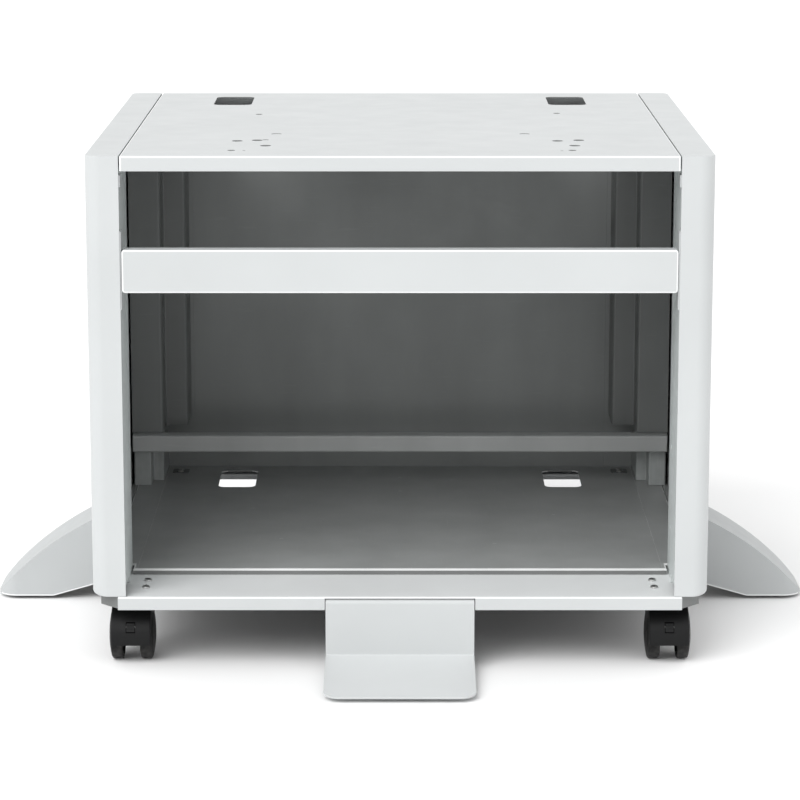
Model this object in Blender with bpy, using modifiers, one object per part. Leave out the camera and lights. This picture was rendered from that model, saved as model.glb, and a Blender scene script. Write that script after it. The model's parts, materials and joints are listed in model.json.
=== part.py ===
"""Mobile printer stand: an open-fronted sheet-metal cabinet on four twin-wheel casters.

Units are metres and +Z is up. The open front faces -Y. The origin is on the floor, under the
middle of the footprint, so x = 0 is the middle of the body. Left and right are as seen from the
front. Every sheet-metal part is an open surface with a Solidify modifier.
"""
import math

import bmesh
import bpy
from mathutils import Matrix, Vector

# Body, over the side covers
BODY_WIDTH = 0.585
BODY_DEPTH = 0.545
BODY_TOP = 0.492
HALF = BODY_WIDTH / 2
SHEET = 0.0012
HEAVY_SHEET = 0.0015
GAP = 0.0003

# Anti-tip foot at the front; it sets where the front face is, because y = 0 is mid-footprint
FOOT_REACH = 0.109
FRONT = -(BODY_DEPTH - FOOT_REACH) / 2
BACK = FRONT + BODY_DEPTH

# Side covers
COVER_INNER = 0.2603
COVER_BOTTOM = 0.0717
COVER_FRONT_RADIUS = 0.015
COVER_BACK_RADIUS = 0.006
COVER_LIP_RADIUS = 0.0042
COVER_TOP_RADIUS = 0.0015

# Top plate
PLATE_HALF = 0.2595
PLATE_FLANGE = 0.014
PLATE_BOTTOM = BODY_TOP - PLATE_FLANGE
EDGE_RADIUS = 0.0015

# Rectangular openings, one above the other in the top plate and the floor
PORT_INNER = 0.157
PORT_OUTER = 0.197
PORT_NEAR = FRONT + 0.427
PORT_FAR = FRONT + 0.505
PORT_RADIUS = 0.008

# Round holes in the top plate: x, distance behind the front face, diameter
PLATE_HOLES = (
    (-0.1450, 0.340, 0.0072),
    (-0.1559, 0.116, 0.0105),
    (-0.1370, 0.121, 0.0105),
    (-0.1272, 0.079, 0.0105),
    (-0.1579, 0.0435, 0.0074),
    (-0.1459, 0.042, 0.0028),
    (0.1616, 0.349, 0.0072),
    (0.1511, 0.116, 0.0105),
    (0.1716, 0.121, 0.0105),
    (0.1656, 0.079, 0.0105),
    (0.1614, 0.0435, 0.0074),
    (0.1514, 0.040, 0.0028),
)

# Base pan and floor
PAN_HALF = 0.286
PAN_TOP = 0.0714
PAN_BOTTOM = 0.0585
PAN_CHAMFER = 0.018
PAN_CORNER_STEP = 0.005
SILL_DEPTH = 0.082
FLOOR_TOP = 0.0775
FLOOR_FRONT_HALF = 0.2603
FLOOR_HALF = 0.285
FLOOR_BACK = FRONT + 0.529
SILL_SCREW_X = 0.244
SILL_SCREW_DEPTHS = (0.034, 0.060)
SHANK_LENGTH = 0.0017

# Posts, rails and rear sheets
POST_INNER = 0.261
POST_OUTER = 0.279
POST_DEPTH = 0.101
POST_STEP = 0.052
POST_STEP_BACK = 0.0012
REAR_POST_FRONT = FRONT + 0.434
REAR_POST_SHOULDER = FRONT + 0.457
REAR_POST_INNER = 0.2575
REAR_POST_SHOULDER_X = 0.2693
REAR_POST_OUTER = 0.2880
REAR_PANEL_Y = FRONT + 0.531
RAIL_HALF = 0.2588
RAIL_BOTTOM = 0.3638
RAIL_TOP = 0.4044
RAIL_DEPTH = 0.0156
CROSSBAR_BOTTOM = 0.1185
CROSSBAR_HEIGHT = 0.018
CROSSBAR_FRONT = FRONT + 0.416
CROSSBAR_DEPTH = 0.0175
CORNER_FRONT = FRONT + 0.430
CORNER_STEP = FRONT + 0.470
CORNER_OUTER = 0.289
CORNER_MIDDLE = 0.2561
CORNER_INNER = 0.2321

# Front foot
FOOT_HALF = 0.0708
FOOT_SHEET = 0.002
FOOT_FLANGE_DEPTH = 0.070
FOOT_CORNER_RADIUS = 0.015
FOOT_DROP = 0.0141
FOOT_TIP_HEIGHT = 0.0048

# Side stabilizers
STABILIZER_FRONT = FRONT + 0.2525
STABILIZER_WIDTH = 0.075
STABILIZER_ROOT = HALF - 0.003
STABILIZER_REACH = 0.4155
STABILIZER_ROOT_TOP = 0.0965
STABILIZER_SHOULDER = (0.3675, 0.0640)
STABILIZER_TIP = (0.4145, 0.0075)
STABILIZER_BOTTOM = 0.0035
STABILIZER_KNEE = 0.358
STABILIZER_RISE = 0.285
STABILIZER_CORNER_RADIUS = 0.020
STABILIZER_WALL = 0.0025
ARM_WIDTH = 0.050
ARM_THICKNESS = 0.004

# Twin-wheel casters
CASTER_X = 0.2578
CASTER_FRONT_Y = FRONT + 0.062
CASTER_REAR_Y = FRONT + 0.483
CASTER_TRAIL = 0.020
WHEEL_RADIUS = 0.025
WHEEL_INNER = 0.0085
WHEEL_OUTER = 0.0222
WHEEL_STEPS = 20
AXLE_RADIUS = 0.0039
AXLE_BORE = 0.0043
AXLE_HALF = 0.0181
BORE_END = 0.0185
WEB_HALF = 0.0080
HOOD_HALF = 0.0190
HOOD_RADIUS = 0.0295
POCKET_RADIUS = 0.0265
BOSS_RADIUS = 0.012
BOSS_TOP = 0.0667
PLATE_SIDE = 0.050
PLATE_THICKNESS = 0.0025
KINGPIN_RADIUS = 0.004
KINGPIN_END = 0.0505
LEVER_HALF = 0.0040
LEVER_SLOT_HALF = 0.0045
LEVER_SLOT_LOW = 0.0068
LEVER_SLOT_HIGH = 0.0166
LEVER_CLEARANCE = 0.0009
LEVER_PIVOT = (-0.0240, 0.0117)
LEVER_PIN_RADIUS = 0.0012
LEVER_PIN_BORE = 0.0016

COLLECTION_NAME = "printer_stand"


def clear_scene():
    for obj in list(bpy.data.objects):
        bpy.data.objects.remove(obj, do_unlink=True)


def make_collection(name):
    collection = bpy.data.collections.new(name)
    bpy.context.scene.collection.children.link(collection)
    return collection


clear_scene()
PARTS = make_collection(COLLECTION_NAME)
CUTTERS = make_collection(COLLECTION_NAME + "_cutters")


# Materials

def principled(name, colour, roughness, metallic=0.0):
    material = bpy.data.materials.new(name)
    material.use_nodes = True
    shader = material.node_tree.nodes["Principled BSDF"]
    shader.inputs["Base Color"].default_value = (*colour, 1.0)
    shader.inputs["Roughness"].default_value = roughness
    shader.inputs["Metallic"].default_value = metallic
    material.diffuse_color = (*colour, 1.0)
    return material


WHITE_PAINT = principled("white_paint", (0.78, 0.80, 0.80), 0.5)
GREY_PAINT = principled("grey_paint", (0.20, 0.21, 0.21), 0.55)
FLOOR_PAINT = principled("floor_paint", (0.24, 0.25, 0.25), 0.45)
ZINC = principled("zinc_plate", (0.45, 0.46, 0.46), 0.4, 1.0)
WHITE_PLASTIC = principled("white_plastic", (0.75, 0.77, 0.77), 0.55)
BLACK_PLASTIC = principled("black_plastic", (0.018, 0.018, 0.019), 0.45)
BLACK_TREAD = principled("black_tread", (0.012, 0.012, 0.012), 0.7)
STEEL = principled("steel", (0.50, 0.50, 0.50), 0.3, 1.0)


# Mesh helpers

def box(low, high):
    """A box between two opposite corners."""
    size = Vector(high) - Vector(low)
    centre = (Vector(high) + Vector(low)) / 2
    bm = bmesh.new()
    place = Matrix.Translation(centre) @ Matrix.Diagonal((*size, 1.0))
    bmesh.ops.create_cube(bm, size=1.0, matrix=place)
    return bm


def open_side(bm, direction):
    """Deletes the faces that look along the direction."""
    axis = Vector(direction)
    bm.normal_update()
    faces = [face for face in bm.faces if face.normal.dot(axis) > 0.9]
    bmesh.ops.delete(bm, geom=faces, context="FACES")


def round_edges(bm, chosen, radius, segments):
    """Bevels the edges whose two ends both satisfy the test."""
    edges = [edge for edge in bm.edges if all(chosen(vert.co) for vert in edge.verts)]
    bmesh.ops.bevel(bm, geom=edges, offset=radius, segments=segments, profile=0.5,
                    affect="EDGES", clamp_overlap=True)


def put_on_side(bm, side):
    """Leaves a right-hand mesh as it is, or mirrors it to the left."""
    if side < 0:
        bmesh.ops.scale(bm, vec=(-1.0, 1.0, 1.0), verts=bm.verts)
        bmesh.ops.reverse_faces(bm, faces=bm.faces)
    return bm


def near(value, target):
    return abs(value - target) < 1e-5


def add_object(name, mesh, material, location=(0.0, 0.0, 0.0), parent=None):
    if not mesh.materials:
        mesh.materials.append(material)
    obj = bpy.data.objects.new(name, mesh)
    obj.location = location
    obj.parent = parent
    PARTS.objects.link(obj)
    return obj


def mesh_from(name, bm):
    mesh = bpy.data.meshes.new(name)
    bm.to_mesh(mesh)
    bm.free()
    return mesh


def thicken(obj, thickness, offset=-1.0):
    solidify = obj.modifiers.new("sheet", "SOLIDIFY")
    solidify.thickness = thickness
    solidify.offset = offset
    solidify.use_even_offset = True
    return obj


def shade_round(mesh, degrees=35.0):
    mesh.shade_smooth()
    mesh.set_sharp_from_angle(angle=math.radians(degrees))


def sheet_part(name, bm, material, thickness):
    """An open surface that becomes sheet metal, thickened inwards."""
    obj = add_object(name, mesh_from(name, bm), material)
    return thicken(obj, thickness)


def cutter(name, bm):
    obj = bpy.data.objects.new(name, mesh_from(name, bm))
    obj.hide_render = True
    obj.display_type = "WIRE"
    CUTTERS.objects.link(obj)
    return obj


def boolean(obj, other, operation="DIFFERENCE"):
    modifier = obj.modifiers.new(other.name, "BOOLEAN")
    modifier.operation = operation
    modifier.solver = "EXACT"
    modifier.object = other
    return obj


def arc(centre, radius, start, end, steps):
    """Points along a circle, both ends included; angles in degrees."""
    points = []
    for index in range(steps + 1):
        angle = math.radians(start + (end - start) * index / steps)
        points.append((centre[0] + radius * math.cos(angle), centre[1] + radius * math.sin(angle)))
    return points


def add_cylinder(bm, centre, radius, length, axis="Z", segments=16):
    turn = Matrix.Rotation(math.pi / 2, 4, "Y") if axis == "X" else Matrix.Identity(4)
    place = Matrix.Translation(centre) @ turn
    bmesh.ops.create_cone(bm, cap_ends=True, segments=segments, radius1=radius, radius2=radius,
                          depth=length, matrix=place)


def round_path(points, radius, steps=3):
    """A polyline in a plane whose inner corners are replaced by arcs of the given radius."""
    path = [Vector(points[0])]
    for before, corner, after in zip(points, points[1:], points[2:]):
        corner = Vector(corner)
        to_before = (Vector(before) - corner).normalized()
        to_after = (Vector(after) - corner).normalized()
        half_angle = to_before.angle(to_after) / 2
        reach = radius / math.tan(half_angle)
        centre = corner + (to_before + to_after).normalized() * radius / math.sin(half_angle)
        first = corner + to_before * reach - centre
        last = corner + to_after * reach - centre
        for index in range(steps + 1):
            share = index / steps
            spoke = first.lerp(last, share).normalized() * radius
            path.append(centre + spoke)
    path.append(Vector(points[-1]))
    return path


def strip(path, start, end):
    """An open strip of faces: the path repeated at two ends, as 3-D points made by the caller."""
    bm = bmesh.new()
    rows = [[bm.verts.new(make(point)) for point in path] for make in (start, end)]
    for index in range(len(path) - 1):
        bm.faces.new((rows[0][index], rows[0][index + 1], rows[1][index + 1], rows[1][index]))
    return bm


def flat_plate(outline, thickness):
    """A filled outline in the YZ plane, with its thickness along X and centred on x = 0."""
    curve = bpy.data.curves.new("outline", "CURVE")
    curve.dimensions = "2D"
    curve.fill_mode = "BOTH"
    curve.extrude = thickness / 2
    spline = curve.splines.new("POLY")
    spline.points.add(len(outline) - 1)
    for point, place in zip(spline.points, outline):
        point.co = (place[0], place[1], 0.0, 1.0)
    spline.use_cyclic_u = True
    holder = bpy.data.objects.new("outline", curve)
    CUTTERS.objects.link(holder)
    graph = bpy.context.evaluated_depsgraph_get()
    mesh = bpy.data.meshes.new_from_object(holder.evaluated_get(graph))
    bm = bmesh.new()
    bm.from_mesh(mesh)
    bmesh.ops.remove_doubles(bm, verts=bm.verts, dist=1e-6)
    stand_up = Matrix(((0, 0, 1, 0), (1, 0, 0, 0), (0, 1, 0, 0), (0, 0, 0, 1)))
    bmesh.ops.transform(bm, matrix=stand_up, verts=bm.verts)
    bmesh.ops.recalc_face_normals(bm, faces=bm.faces)
    bpy.data.objects.remove(holder)
    bpy.data.meshes.remove(mesh)
    return bm


def settle(obj):
    """Turns an object with modifiers into a plain mesh, and removes the object and its cutters."""
    graph = bpy.context.evaluated_depsgraph_get()
    mesh = bpy.data.meshes.new_from_object(obj.evaluated_get(graph))
    mesh.name = obj.name + "_mesh"
    helpers = [modifier.object for modifier in obj.modifiers if modifier.type == "BOOLEAN"]
    for item in (obj, *helpers):
        bpy.data.objects.remove(item)
    return mesh


def turned(name, profile, material, steps, location=(0, 0, 0), parent=None, turn=0.0):
    """A solid of revolution about its own Z axis; the profile runs top to bottom at +X.

    turn is an angle about Y, in degrees, that lays the axis along X.
    """
    mesh = bpy.data.meshes.new(name)
    edges = [(index, index + 1) for index in range(len(profile) - 1)]
    mesh.from_pydata([(radius, 0.0, height) for radius, height in profile], edges, [])
    obj = add_object(name, mesh, material, location, parent)
    obj.rotation_euler = (0.0, math.radians(turn), 0.0)
    screw = obj.modifiers.new("turn", "SCREW")
    screw.axis = "Z"
    screw.steps = steps
    screw.render_steps = steps
    screw.use_merge_vertices = True
    screw.merge_threshold = 0.00001
    screw.use_smooth_shade = True
    return obj


# Cabinet

def make_top_plate():
    bm = box((-PLATE_HALF, FRONT, PLATE_BOTTOM), (PLATE_HALF, BACK, BODY_TOP))
    round_edges(bm, lambda co: near(co.z, BODY_TOP), EDGE_RADIUS, 2)
    open_side(bm, (0, 0, -1))
    plate = sheet_part("top_plate", bm, WHITE_PAINT, SHEET)
    boolean(plate, port_cutter("top_ports", BODY_TOP))
    holes = bmesh.new()
    for x, depth, diameter in PLATE_HOLES:
        add_cylinder(holes, (x, FRONT + depth, BODY_TOP), diameter / 2, 0.01, segments=12)
    boolean(plate, cutter("top_holes", holes))


def port_cutter(name, level, margin=0.0):
    """Two upright rounded blocks that cut the rectangular openings."""
    bm = bmesh.new()
    for side in (-1, 1):
        inner = side * (PORT_INNER - margin)
        outer = side * (PORT_OUTER + margin)
        low = (min(inner, outer), PORT_NEAR - margin, level - 0.006)
        high = (max(inner, outer), PORT_FAR + margin, level + 0.004)
        block = box(low, high)
        upright = [edge for edge in block.edges
                   if near(edge.verts[0].co.x, edge.verts[1].co.x)
                   and near(edge.verts[0].co.y, edge.verts[1].co.y)]
        bmesh.ops.bevel(block, geom=upright, offset=PORT_RADIUS, segments=3, profile=0.5,
                        affect="EDGES")
        mesh = mesh_from("port", block)
        bm.from_mesh(mesh)
        bpy.data.meshes.remove(mesh)
    return cutter(name, bm)


def cover_section(inset):
    """The cover's plan outline from its inner front edge round to its inner rear edge."""
    centre_x = HALF - COVER_FRONT_RADIUS
    section = [(COVER_INNER, FRONT)]
    for across, back in arc((0, 0), 1.0, -90, 0, 4):
        x = centre_x + across * (COVER_FRONT_RADIUS - inset)
        section.append((x, FRONT + COVER_FRONT_RADIUS * (1 + back)))
    centre_x = HALF - inset - COVER_BACK_RADIUS
    centre_y = BACK - COVER_BACK_RADIUS
    section += arc((centre_x, centre_y), COVER_BACK_RADIUS, 0, 90, 3)
    section.append((COVER_INNER, BACK))
    return section


def cover_levels():
    """Heights and insets from the curled lip at the bottom to the edge at the top."""
    levels = []
    for index in range(4):
        angle = math.radians(90 * index / 3)
        rise = COVER_LIP_RADIUS * (1 - math.cos(angle))
        levels.append((COVER_BOTTOM + rise, COVER_LIP_RADIUS * (1 - math.sin(angle))))
    levels.append((BODY_TOP - COVER_TOP_RADIUS, 0.0))
    levels.append((BODY_TOP, COVER_TOP_RADIUS))
    return levels


def make_side_cover(name, side):
    bm = bmesh.new()
    rings = []
    for height, inset in cover_levels():
        rings.append([bm.verts.new((x, y, height)) for x, y in cover_section(inset)])
    for lower, upper in zip(rings, rings[1:]):
        for index in range(len(lower) - 1):
            bm.faces.new((lower[index], lower[index + 1], upper[index + 1], upper[index]))
    bm.faces.new(rings[-1])
    sheet_part(name, put_on_side(bm, side), WHITE_PAINT, SHEET)


def make_rear_cover():
    bm = box((-PLATE_HALF, REAR_PANEL_Y + 0.002, PAN_TOP + GAP),
             (PLATE_HALF, BACK, PLATE_BOTTOM - GAP))
    round_edges(bm, lambda co: near(co.y, BACK), EDGE_RADIUS, 1)
    open_side(bm, (0, -1, 0))
    sheet_part("rear_cover", bm, WHITE_PAINT, SHEET)


def symmetric_slab(half_outline, low, high):
    """A slab from a plan outline's right half, front to back, and that half's mirror image."""
    outline = half_outline + [(-x, y) for x, y in reversed(half_outline)]
    bm = bmesh.new()
    top = bm.faces.new([bm.verts.new((x, y, low)) for x, y in outline])
    raised = bmesh.ops.extrude_face_region(bm, geom=[top])["geom"]
    bmesh.ops.translate(bm, vec=(0, 0, high - low),
                        verts=[item for item in raised if isinstance(item, bmesh.types.BMVert)])
    bmesh.ops.recalc_face_normals(bm, faces=bm.faces)
    return bm


def make_base_pan():
    bm = symmetric_slab([
        (PAN_HALF - PAN_CHAMFER, FRONT),
        (PAN_HALF - PAN_CHAMFER, FRONT + PAN_CORNER_STEP),
        (PAN_HALF, FRONT + PAN_CORNER_STEP + PAN_CHAMFER),
        (PAN_HALF, BACK - PAN_CHAMFER),
        (PAN_HALF - PAN_CHAMFER, BACK),
    ], PAN_BOTTOM, PAN_TOP)
    open_side(bm, (0, 0, -1))
    pan = sheet_part("base_pan", bm, WHITE_PAINT, HEAVY_SHEET)
    boolean(pan, port_cutter("pan_ports", PAN_TOP, margin=0.008))
    notch = box((-FOOT_HALF - 0.0007, FRONT - 0.005, PAN_BOTTOM - 0.005),
                (FOOT_HALF + 0.0007, FRONT + 0.003, PAN_TOP - HEAVY_SHEET))
    boolean(pan, cutter("foot_notch", notch))
    screw_holes = bmesh.new()
    for x, y in sill_screw_places():
        add_cylinder(screw_holes, (x, y, PAN_TOP), 0.0024, 0.01, segments=12)
    boolean(pan, cutter("sill_screw_holes", screw_holes))


def make_floor_panel():
    """The raised shelf floor, narrower between the front posts than behind them."""
    behind_posts = FRONT + POST_DEPTH + 0.0008
    bm = symmetric_slab([
        (FLOOR_FRONT_HALF, FRONT + SILL_DEPTH),
        (FLOOR_FRONT_HALF, behind_posts),
        (FLOOR_HALF, behind_posts),
        (FLOOR_HALF, FLOOR_BACK),
    ], PAN_TOP + GAP, FLOOR_TOP)
    round_edges(bm, lambda co: near(co.z, FLOOR_TOP), 0.002, 2)
    open_side(bm, (0, 0, -1))
    floor = sheet_part("floor_panel", bm, FLOOR_PAINT, SHEET)
    boolean(floor, port_cutter("floor_ports", FLOOR_TOP))


def make_front_post(name, side):
    """A folded box column with a shallow step in its inner face."""
    stepped = POST_INNER + POST_STEP_BACK
    start = FRONT + 0.002
    outline = [
        (POST_INNER, start),
        (POST_OUTER, start),
        (POST_OUTER, FRONT + POST_DEPTH),
        (stepped, FRONT + POST_DEPTH),
        (stepped, FRONT + POST_STEP),
        (POST_INNER, FRONT + POST_STEP),
        (POST_INNER, start),
    ]
    low = PAN_TOP + GAP
    high = BODY_TOP - SHEET - 0.0005
    bm = strip(outline, lambda p: (p[0], p[1], low), lambda p: (p[0], p[1], high))
    bmesh.ops.remove_doubles(bm, verts=bm.verts, dist=1e-6)
    sheet_part(name, put_on_side(bm, side), ZINC, HEAVY_SHEET)


def make_rear_post(name, side):
    back = REAR_PANEL_Y - 0.0005
    outline = [
        (REAR_POST_INNER, back),
        (REAR_POST_INNER, REAR_POST_SHOULDER),
        (REAR_POST_SHOULDER_X, REAR_POST_SHOULDER),
        (REAR_POST_SHOULDER_X, REAR_POST_FRONT),
        (REAR_POST_OUTER, REAR_POST_FRONT),
        (REAR_POST_OUTER, back),
        (REAR_POST_INNER, back),
    ]
    low = FLOOR_TOP + GAP
    high = PLATE_BOTTOM - 0.0005
    bm = strip(outline, lambda p: (p[0], p[1], low), lambda p: (p[0], p[1], high))
    bmesh.ops.remove_doubles(bm, verts=bm.verts, dist=1e-6)
    sheet_part(name, put_on_side(bm, side), ZINC, HEAVY_SHEET)


def make_rear_corner_panel(name, side):
    """A stepped sheet that closes the upper rear corner."""
    path = [
        (CORNER_OUTER, CORNER_FRONT),
        (CORNER_MIDDLE, CORNER_FRONT),
        (CORNER_MIDDLE, CORNER_STEP),
        (CORNER_INNER, CORNER_STEP),
        (CORNER_INNER, REAR_PANEL_Y - 0.001),
    ]
    low = CROSSBAR_BOTTOM + CROSSBAR_HEIGHT + 0.0005
    high = PLATE_BOTTOM - 0.0005
    bm = strip(path, lambda p: (p[0], p[1], low), lambda p: (p[0], p[1], high))
    obj = add_object(name, mesh_from(name, put_on_side(bm, side)), GREY_PAINT)
    thicken(obj, SHEET, offset=0.0)


def make_side_rail(name, side):
    bm = box((POST_INNER + 0.002, FRONT + POST_DEPTH + 0.001, PLATE_BOTTOM),
             (POST_OUTER, CORNER_FRONT - 0.001, BODY_TOP - SHEET - 0.0005))
    open_side(bm, (1, 0, 0))
    sheet_part(name, put_on_side(bm, side), ZINC, HEAVY_SHEET)


def make_rear_panel():
    bm = box((-POST_OUTER, REAR_PANEL_Y, PAN_TOP + GAP),
             (POST_OUTER, REAR_PANEL_Y + SHEET, PLATE_BOTTOM - 0.0005))
    add_object("rear_panel", mesh_from("rear_panel", bm), GREY_PAINT)


def make_rear_crossbar():
    rear = CROSSBAR_FRONT + CROSSBAR_DEPTH
    bm = box((-REAR_POST_OUTER, CROSSBAR_FRONT, CROSSBAR_BOTTOM),
             (REAR_POST_OUTER, rear, CROSSBAR_BOTTOM + CROSSBAR_HEIGHT))
    open_side(bm, (0, 1, 0))
    sheet_part("rear_crossbar", bm, GREY_PAINT, HEAVY_SHEET)


def make_front_rail():
    bm = box((-RAIL_HALF, FRONT, RAIL_BOTTOM), (RAIL_HALF, FRONT + RAIL_DEPTH, RAIL_TOP))
    round_edges(bm, lambda co: near(co.y, FRONT), EDGE_RADIUS, 2)
    open_side(bm, (0, 1, 0))
    sheet_part("front_rail", bm, WHITE_PAINT, SHEET)


def make_side_plate(name, side, low, high):
    """A narrow upright plate between a post and the part that it holds."""
    bm = box((RAIL_HALF + GAP, FRONT + 0.0016, low), (POST_INNER - GAP, FRONT + 0.015, high))
    add_object(name, mesh_from(name, put_on_side(bm, side)), WHITE_PAINT)


def sill_screw_places():
    return [(side * SILL_SCREW_X, FRONT + depth)
            for side in (-1, 1) for depth in SILL_SCREW_DEPTHS]


def make_sill_screws():
    head = [(0.0, 0.0022), (0.0022, 0.0022), (0.0036, 0.0010), (0.0036, 0.0)]
    shank = [(0.0019, 0.0), (0.0019, -SHANK_LENGTH), (0.0, -SHANK_LENGTH)]
    for index, (x, y) in enumerate(sill_screw_places(), start=1):
        turned(f"sill_screw_{index}", head + shank, STEEL, 12, (x, y, PAN_TOP + GAP))


# Foot and stabilizers

def make_front_foot():
    """A bent sheet: a flange under the sill, a drop and a toe with round corners off the floor."""
    middle = FOOT_SHEET / 2
    flange_z = PAN_TOP - HEAVY_SHEET - GAP - middle
    face_y = FRONT - 0.0006 + middle
    tip = (FRONT - FOOT_REACH + 0.0001, FOOT_TIP_HEIGHT)
    path = round_path([
        (FRONT + FOOT_FLANGE_DEPTH, flange_z),
        (face_y, flange_z),
        (face_y, FOOT_DROP),
    ], 0.0045)
    path = path[:-1] + round_path([path[-2], (face_y, FOOT_DROP), tip], 0.0016)[1:]
    bm = strip(path, lambda p: (-FOOT_HALF, p[0], p[1]), lambda p: (FOOT_HALF, p[0], p[1]))
    corners = [vert for vert in bm.verts if near(vert.co.y, tip[0])]
    bmesh.ops.bevel(bm, geom=corners, offset=FOOT_CORNER_RADIUS, segments=4, profile=0.5,
                    affect="VERTICES")
    obj = add_object("front_foot", mesh_from("front_foot", bm), WHITE_PAINT)
    thicken(obj, FOOT_SHEET, offset=0.0)


def stabilizer_top(x):
    """The height of the cover's swelling back, a quadratic curve from the body to the tip."""
    if x >= STABILIZER_TIP[0]:
        return STABILIZER_TIP[1] - 1.5 * (x - STABILIZER_TIP[0])
    across = (STABILIZER_ROOT, STABILIZER_SHOULDER[0], STABILIZER_TIP[0])
    square = across[0] - 2 * across[1] + across[2]
    linear = 2 * (across[1] - across[0])
    root = math.sqrt(linear * linear - 4 * square * (across[0] - x))
    share = (root - linear) / (2 * square)
    heights = (STABILIZER_ROOT_TOP, STABILIZER_SHOULDER[1], STABILIZER_TIP[1])
    first = heights[0] + (heights[1] - heights[0]) * share
    second = heights[1] + (heights[2] - heights[1]) * share
    return first + (second - first) * share


def stabilizer_pull(x):
    """How far the sides are drawn in by the tip's round corners, seen from above."""
    past = max(0.0, x - (STABILIZER_REACH - STABILIZER_CORNER_RADIUS))
    radius = STABILIZER_CORNER_RADIUS
    return radius - math.sqrt(max(0.0, radius * radius - past * past))


def stabilizer_bottom(x):
    """The edge that stays just off the floor, and rises towards the body."""
    return STABILIZER_BOTTOM + max(0.0, STABILIZER_KNEE - x) * STABILIZER_RISE


def loft(sections):
    """A closed body through rings of points."""
    bm = bmesh.new()
    rings = [[bm.verts.new(point) for point in section] for section in sections]
    for first, second in zip(rings, rings[1:]):
        count = len(first)
        for index in range(count):
            following = (index + 1) % count
            bm.faces.new((first[index], first[following], second[following], second[index]))
    bm.faces.new(rings[0])
    bm.faces.new(rings[-1])
    bmesh.ops.recalc_face_normals(bm, faces=bm.faces)
    return bm


def stabilizer_stations(end):
    """Distances across: even steps up to the knee and from there to the round tip."""
    turn = STABILIZER_REACH - STABILIZER_CORNER_RADIUS
    stations = [STABILIZER_ROOT + (STABILIZER_KNEE - STABILIZER_ROOT) * k / 4 for k in range(4)]
    stations += [STABILIZER_KNEE + (turn - STABILIZER_KNEE) * k / 3 for k in range(3)]
    return stations + [turn + (end - turn) * math.sin(math.pi / 2 * k / 5) for k in range(6)]


def section_between(x, inset, low, high):
    near_y = STABILIZER_FRONT + inset + stabilizer_pull(x + inset)
    far_y = 2 * STABILIZER_FRONT + STABILIZER_WIDTH - near_y
    return [(x, near_y, low), (x, near_y, high), (x, far_y, high), (x, far_y, low)]


def body_side_cutter():
    """A block that trims both stabilizer covers where they meet the side covers."""
    reach = HALF + GAP
    return cutter("body_sides", box((-reach, STABILIZER_FRONT - 0.01, -0.01),
                                    (reach, STABILIZER_FRONT + STABILIZER_WIDTH + 0.01, 0.12)))


def make_stabilizer_cover(name, side, trim):
    """A hollow moulding, open below and towards the body."""
    outside = [section_between(x, 0.0, stabilizer_bottom(x), stabilizer_top(x))
               for x in stabilizer_stations(STABILIZER_REACH)]
    cover = add_object(name, mesh_from(name, put_on_side(loft(outside), side)), WHITE_PLASTIC)
    below = STABILIZER_BOTTOM - 0.01
    inside = [section_between(x, STABILIZER_WALL, below, stabilizer_top(x) - 1.3 * STABILIZER_WALL)
              for x in stabilizer_stations(STABILIZER_REACH - 4 * STABILIZER_WALL)]
    boolean(cover, cutter(f"{name}_hollow", put_on_side(loft(inside), side)))
    boolean(cover, trim)


def make_stabilizer_arm(name, side):
    """A bent flat bar from under the base pan to the floor inside the cover."""
    flange_z = PAN_TOP - HEAVY_SHEET - GAP - ARM_THICKNESS / 2
    path = round_path([
        (0.205, flange_z),
        (0.258, flange_z),
        (0.284, 0.0500),
        (0.368, 0.0070),
        (0.396, 0.0070),
    ], 0.006)
    middle = STABILIZER_FRONT + STABILIZER_WIDTH / 2
    near_y = middle - ARM_WIDTH / 2
    far_y = middle + ARM_WIDTH / 2
    bm = strip(path, lambda p: (p[0], near_y, p[1]), lambda p: (p[0], far_y, p[1]))
    obj = add_object(name, mesh_from(name, put_on_side(bm, side)), STEEL)
    thicken(obj, ARM_THICKNESS, offset=0.0)


# Casters; the caster's own frame has its origin on the floor, on the swivel axis

def hood_outline():
    """The hood from the side, about the axle: an arch in front and on top, a web below."""
    front_low = math.degrees(math.asin(0.0055 / HOOD_RADIUS))
    outline = arc((0, 0), HOOD_RADIUS, 180 + front_low, 90, 8)
    outline += [(0.034, HOOD_RADIUS), (0.034, 0.021), (0.029, 0.005)]
    outline += [(0.009, -0.006), (0.005, -0.009), (-0.006, -0.009)]
    return outline


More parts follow.
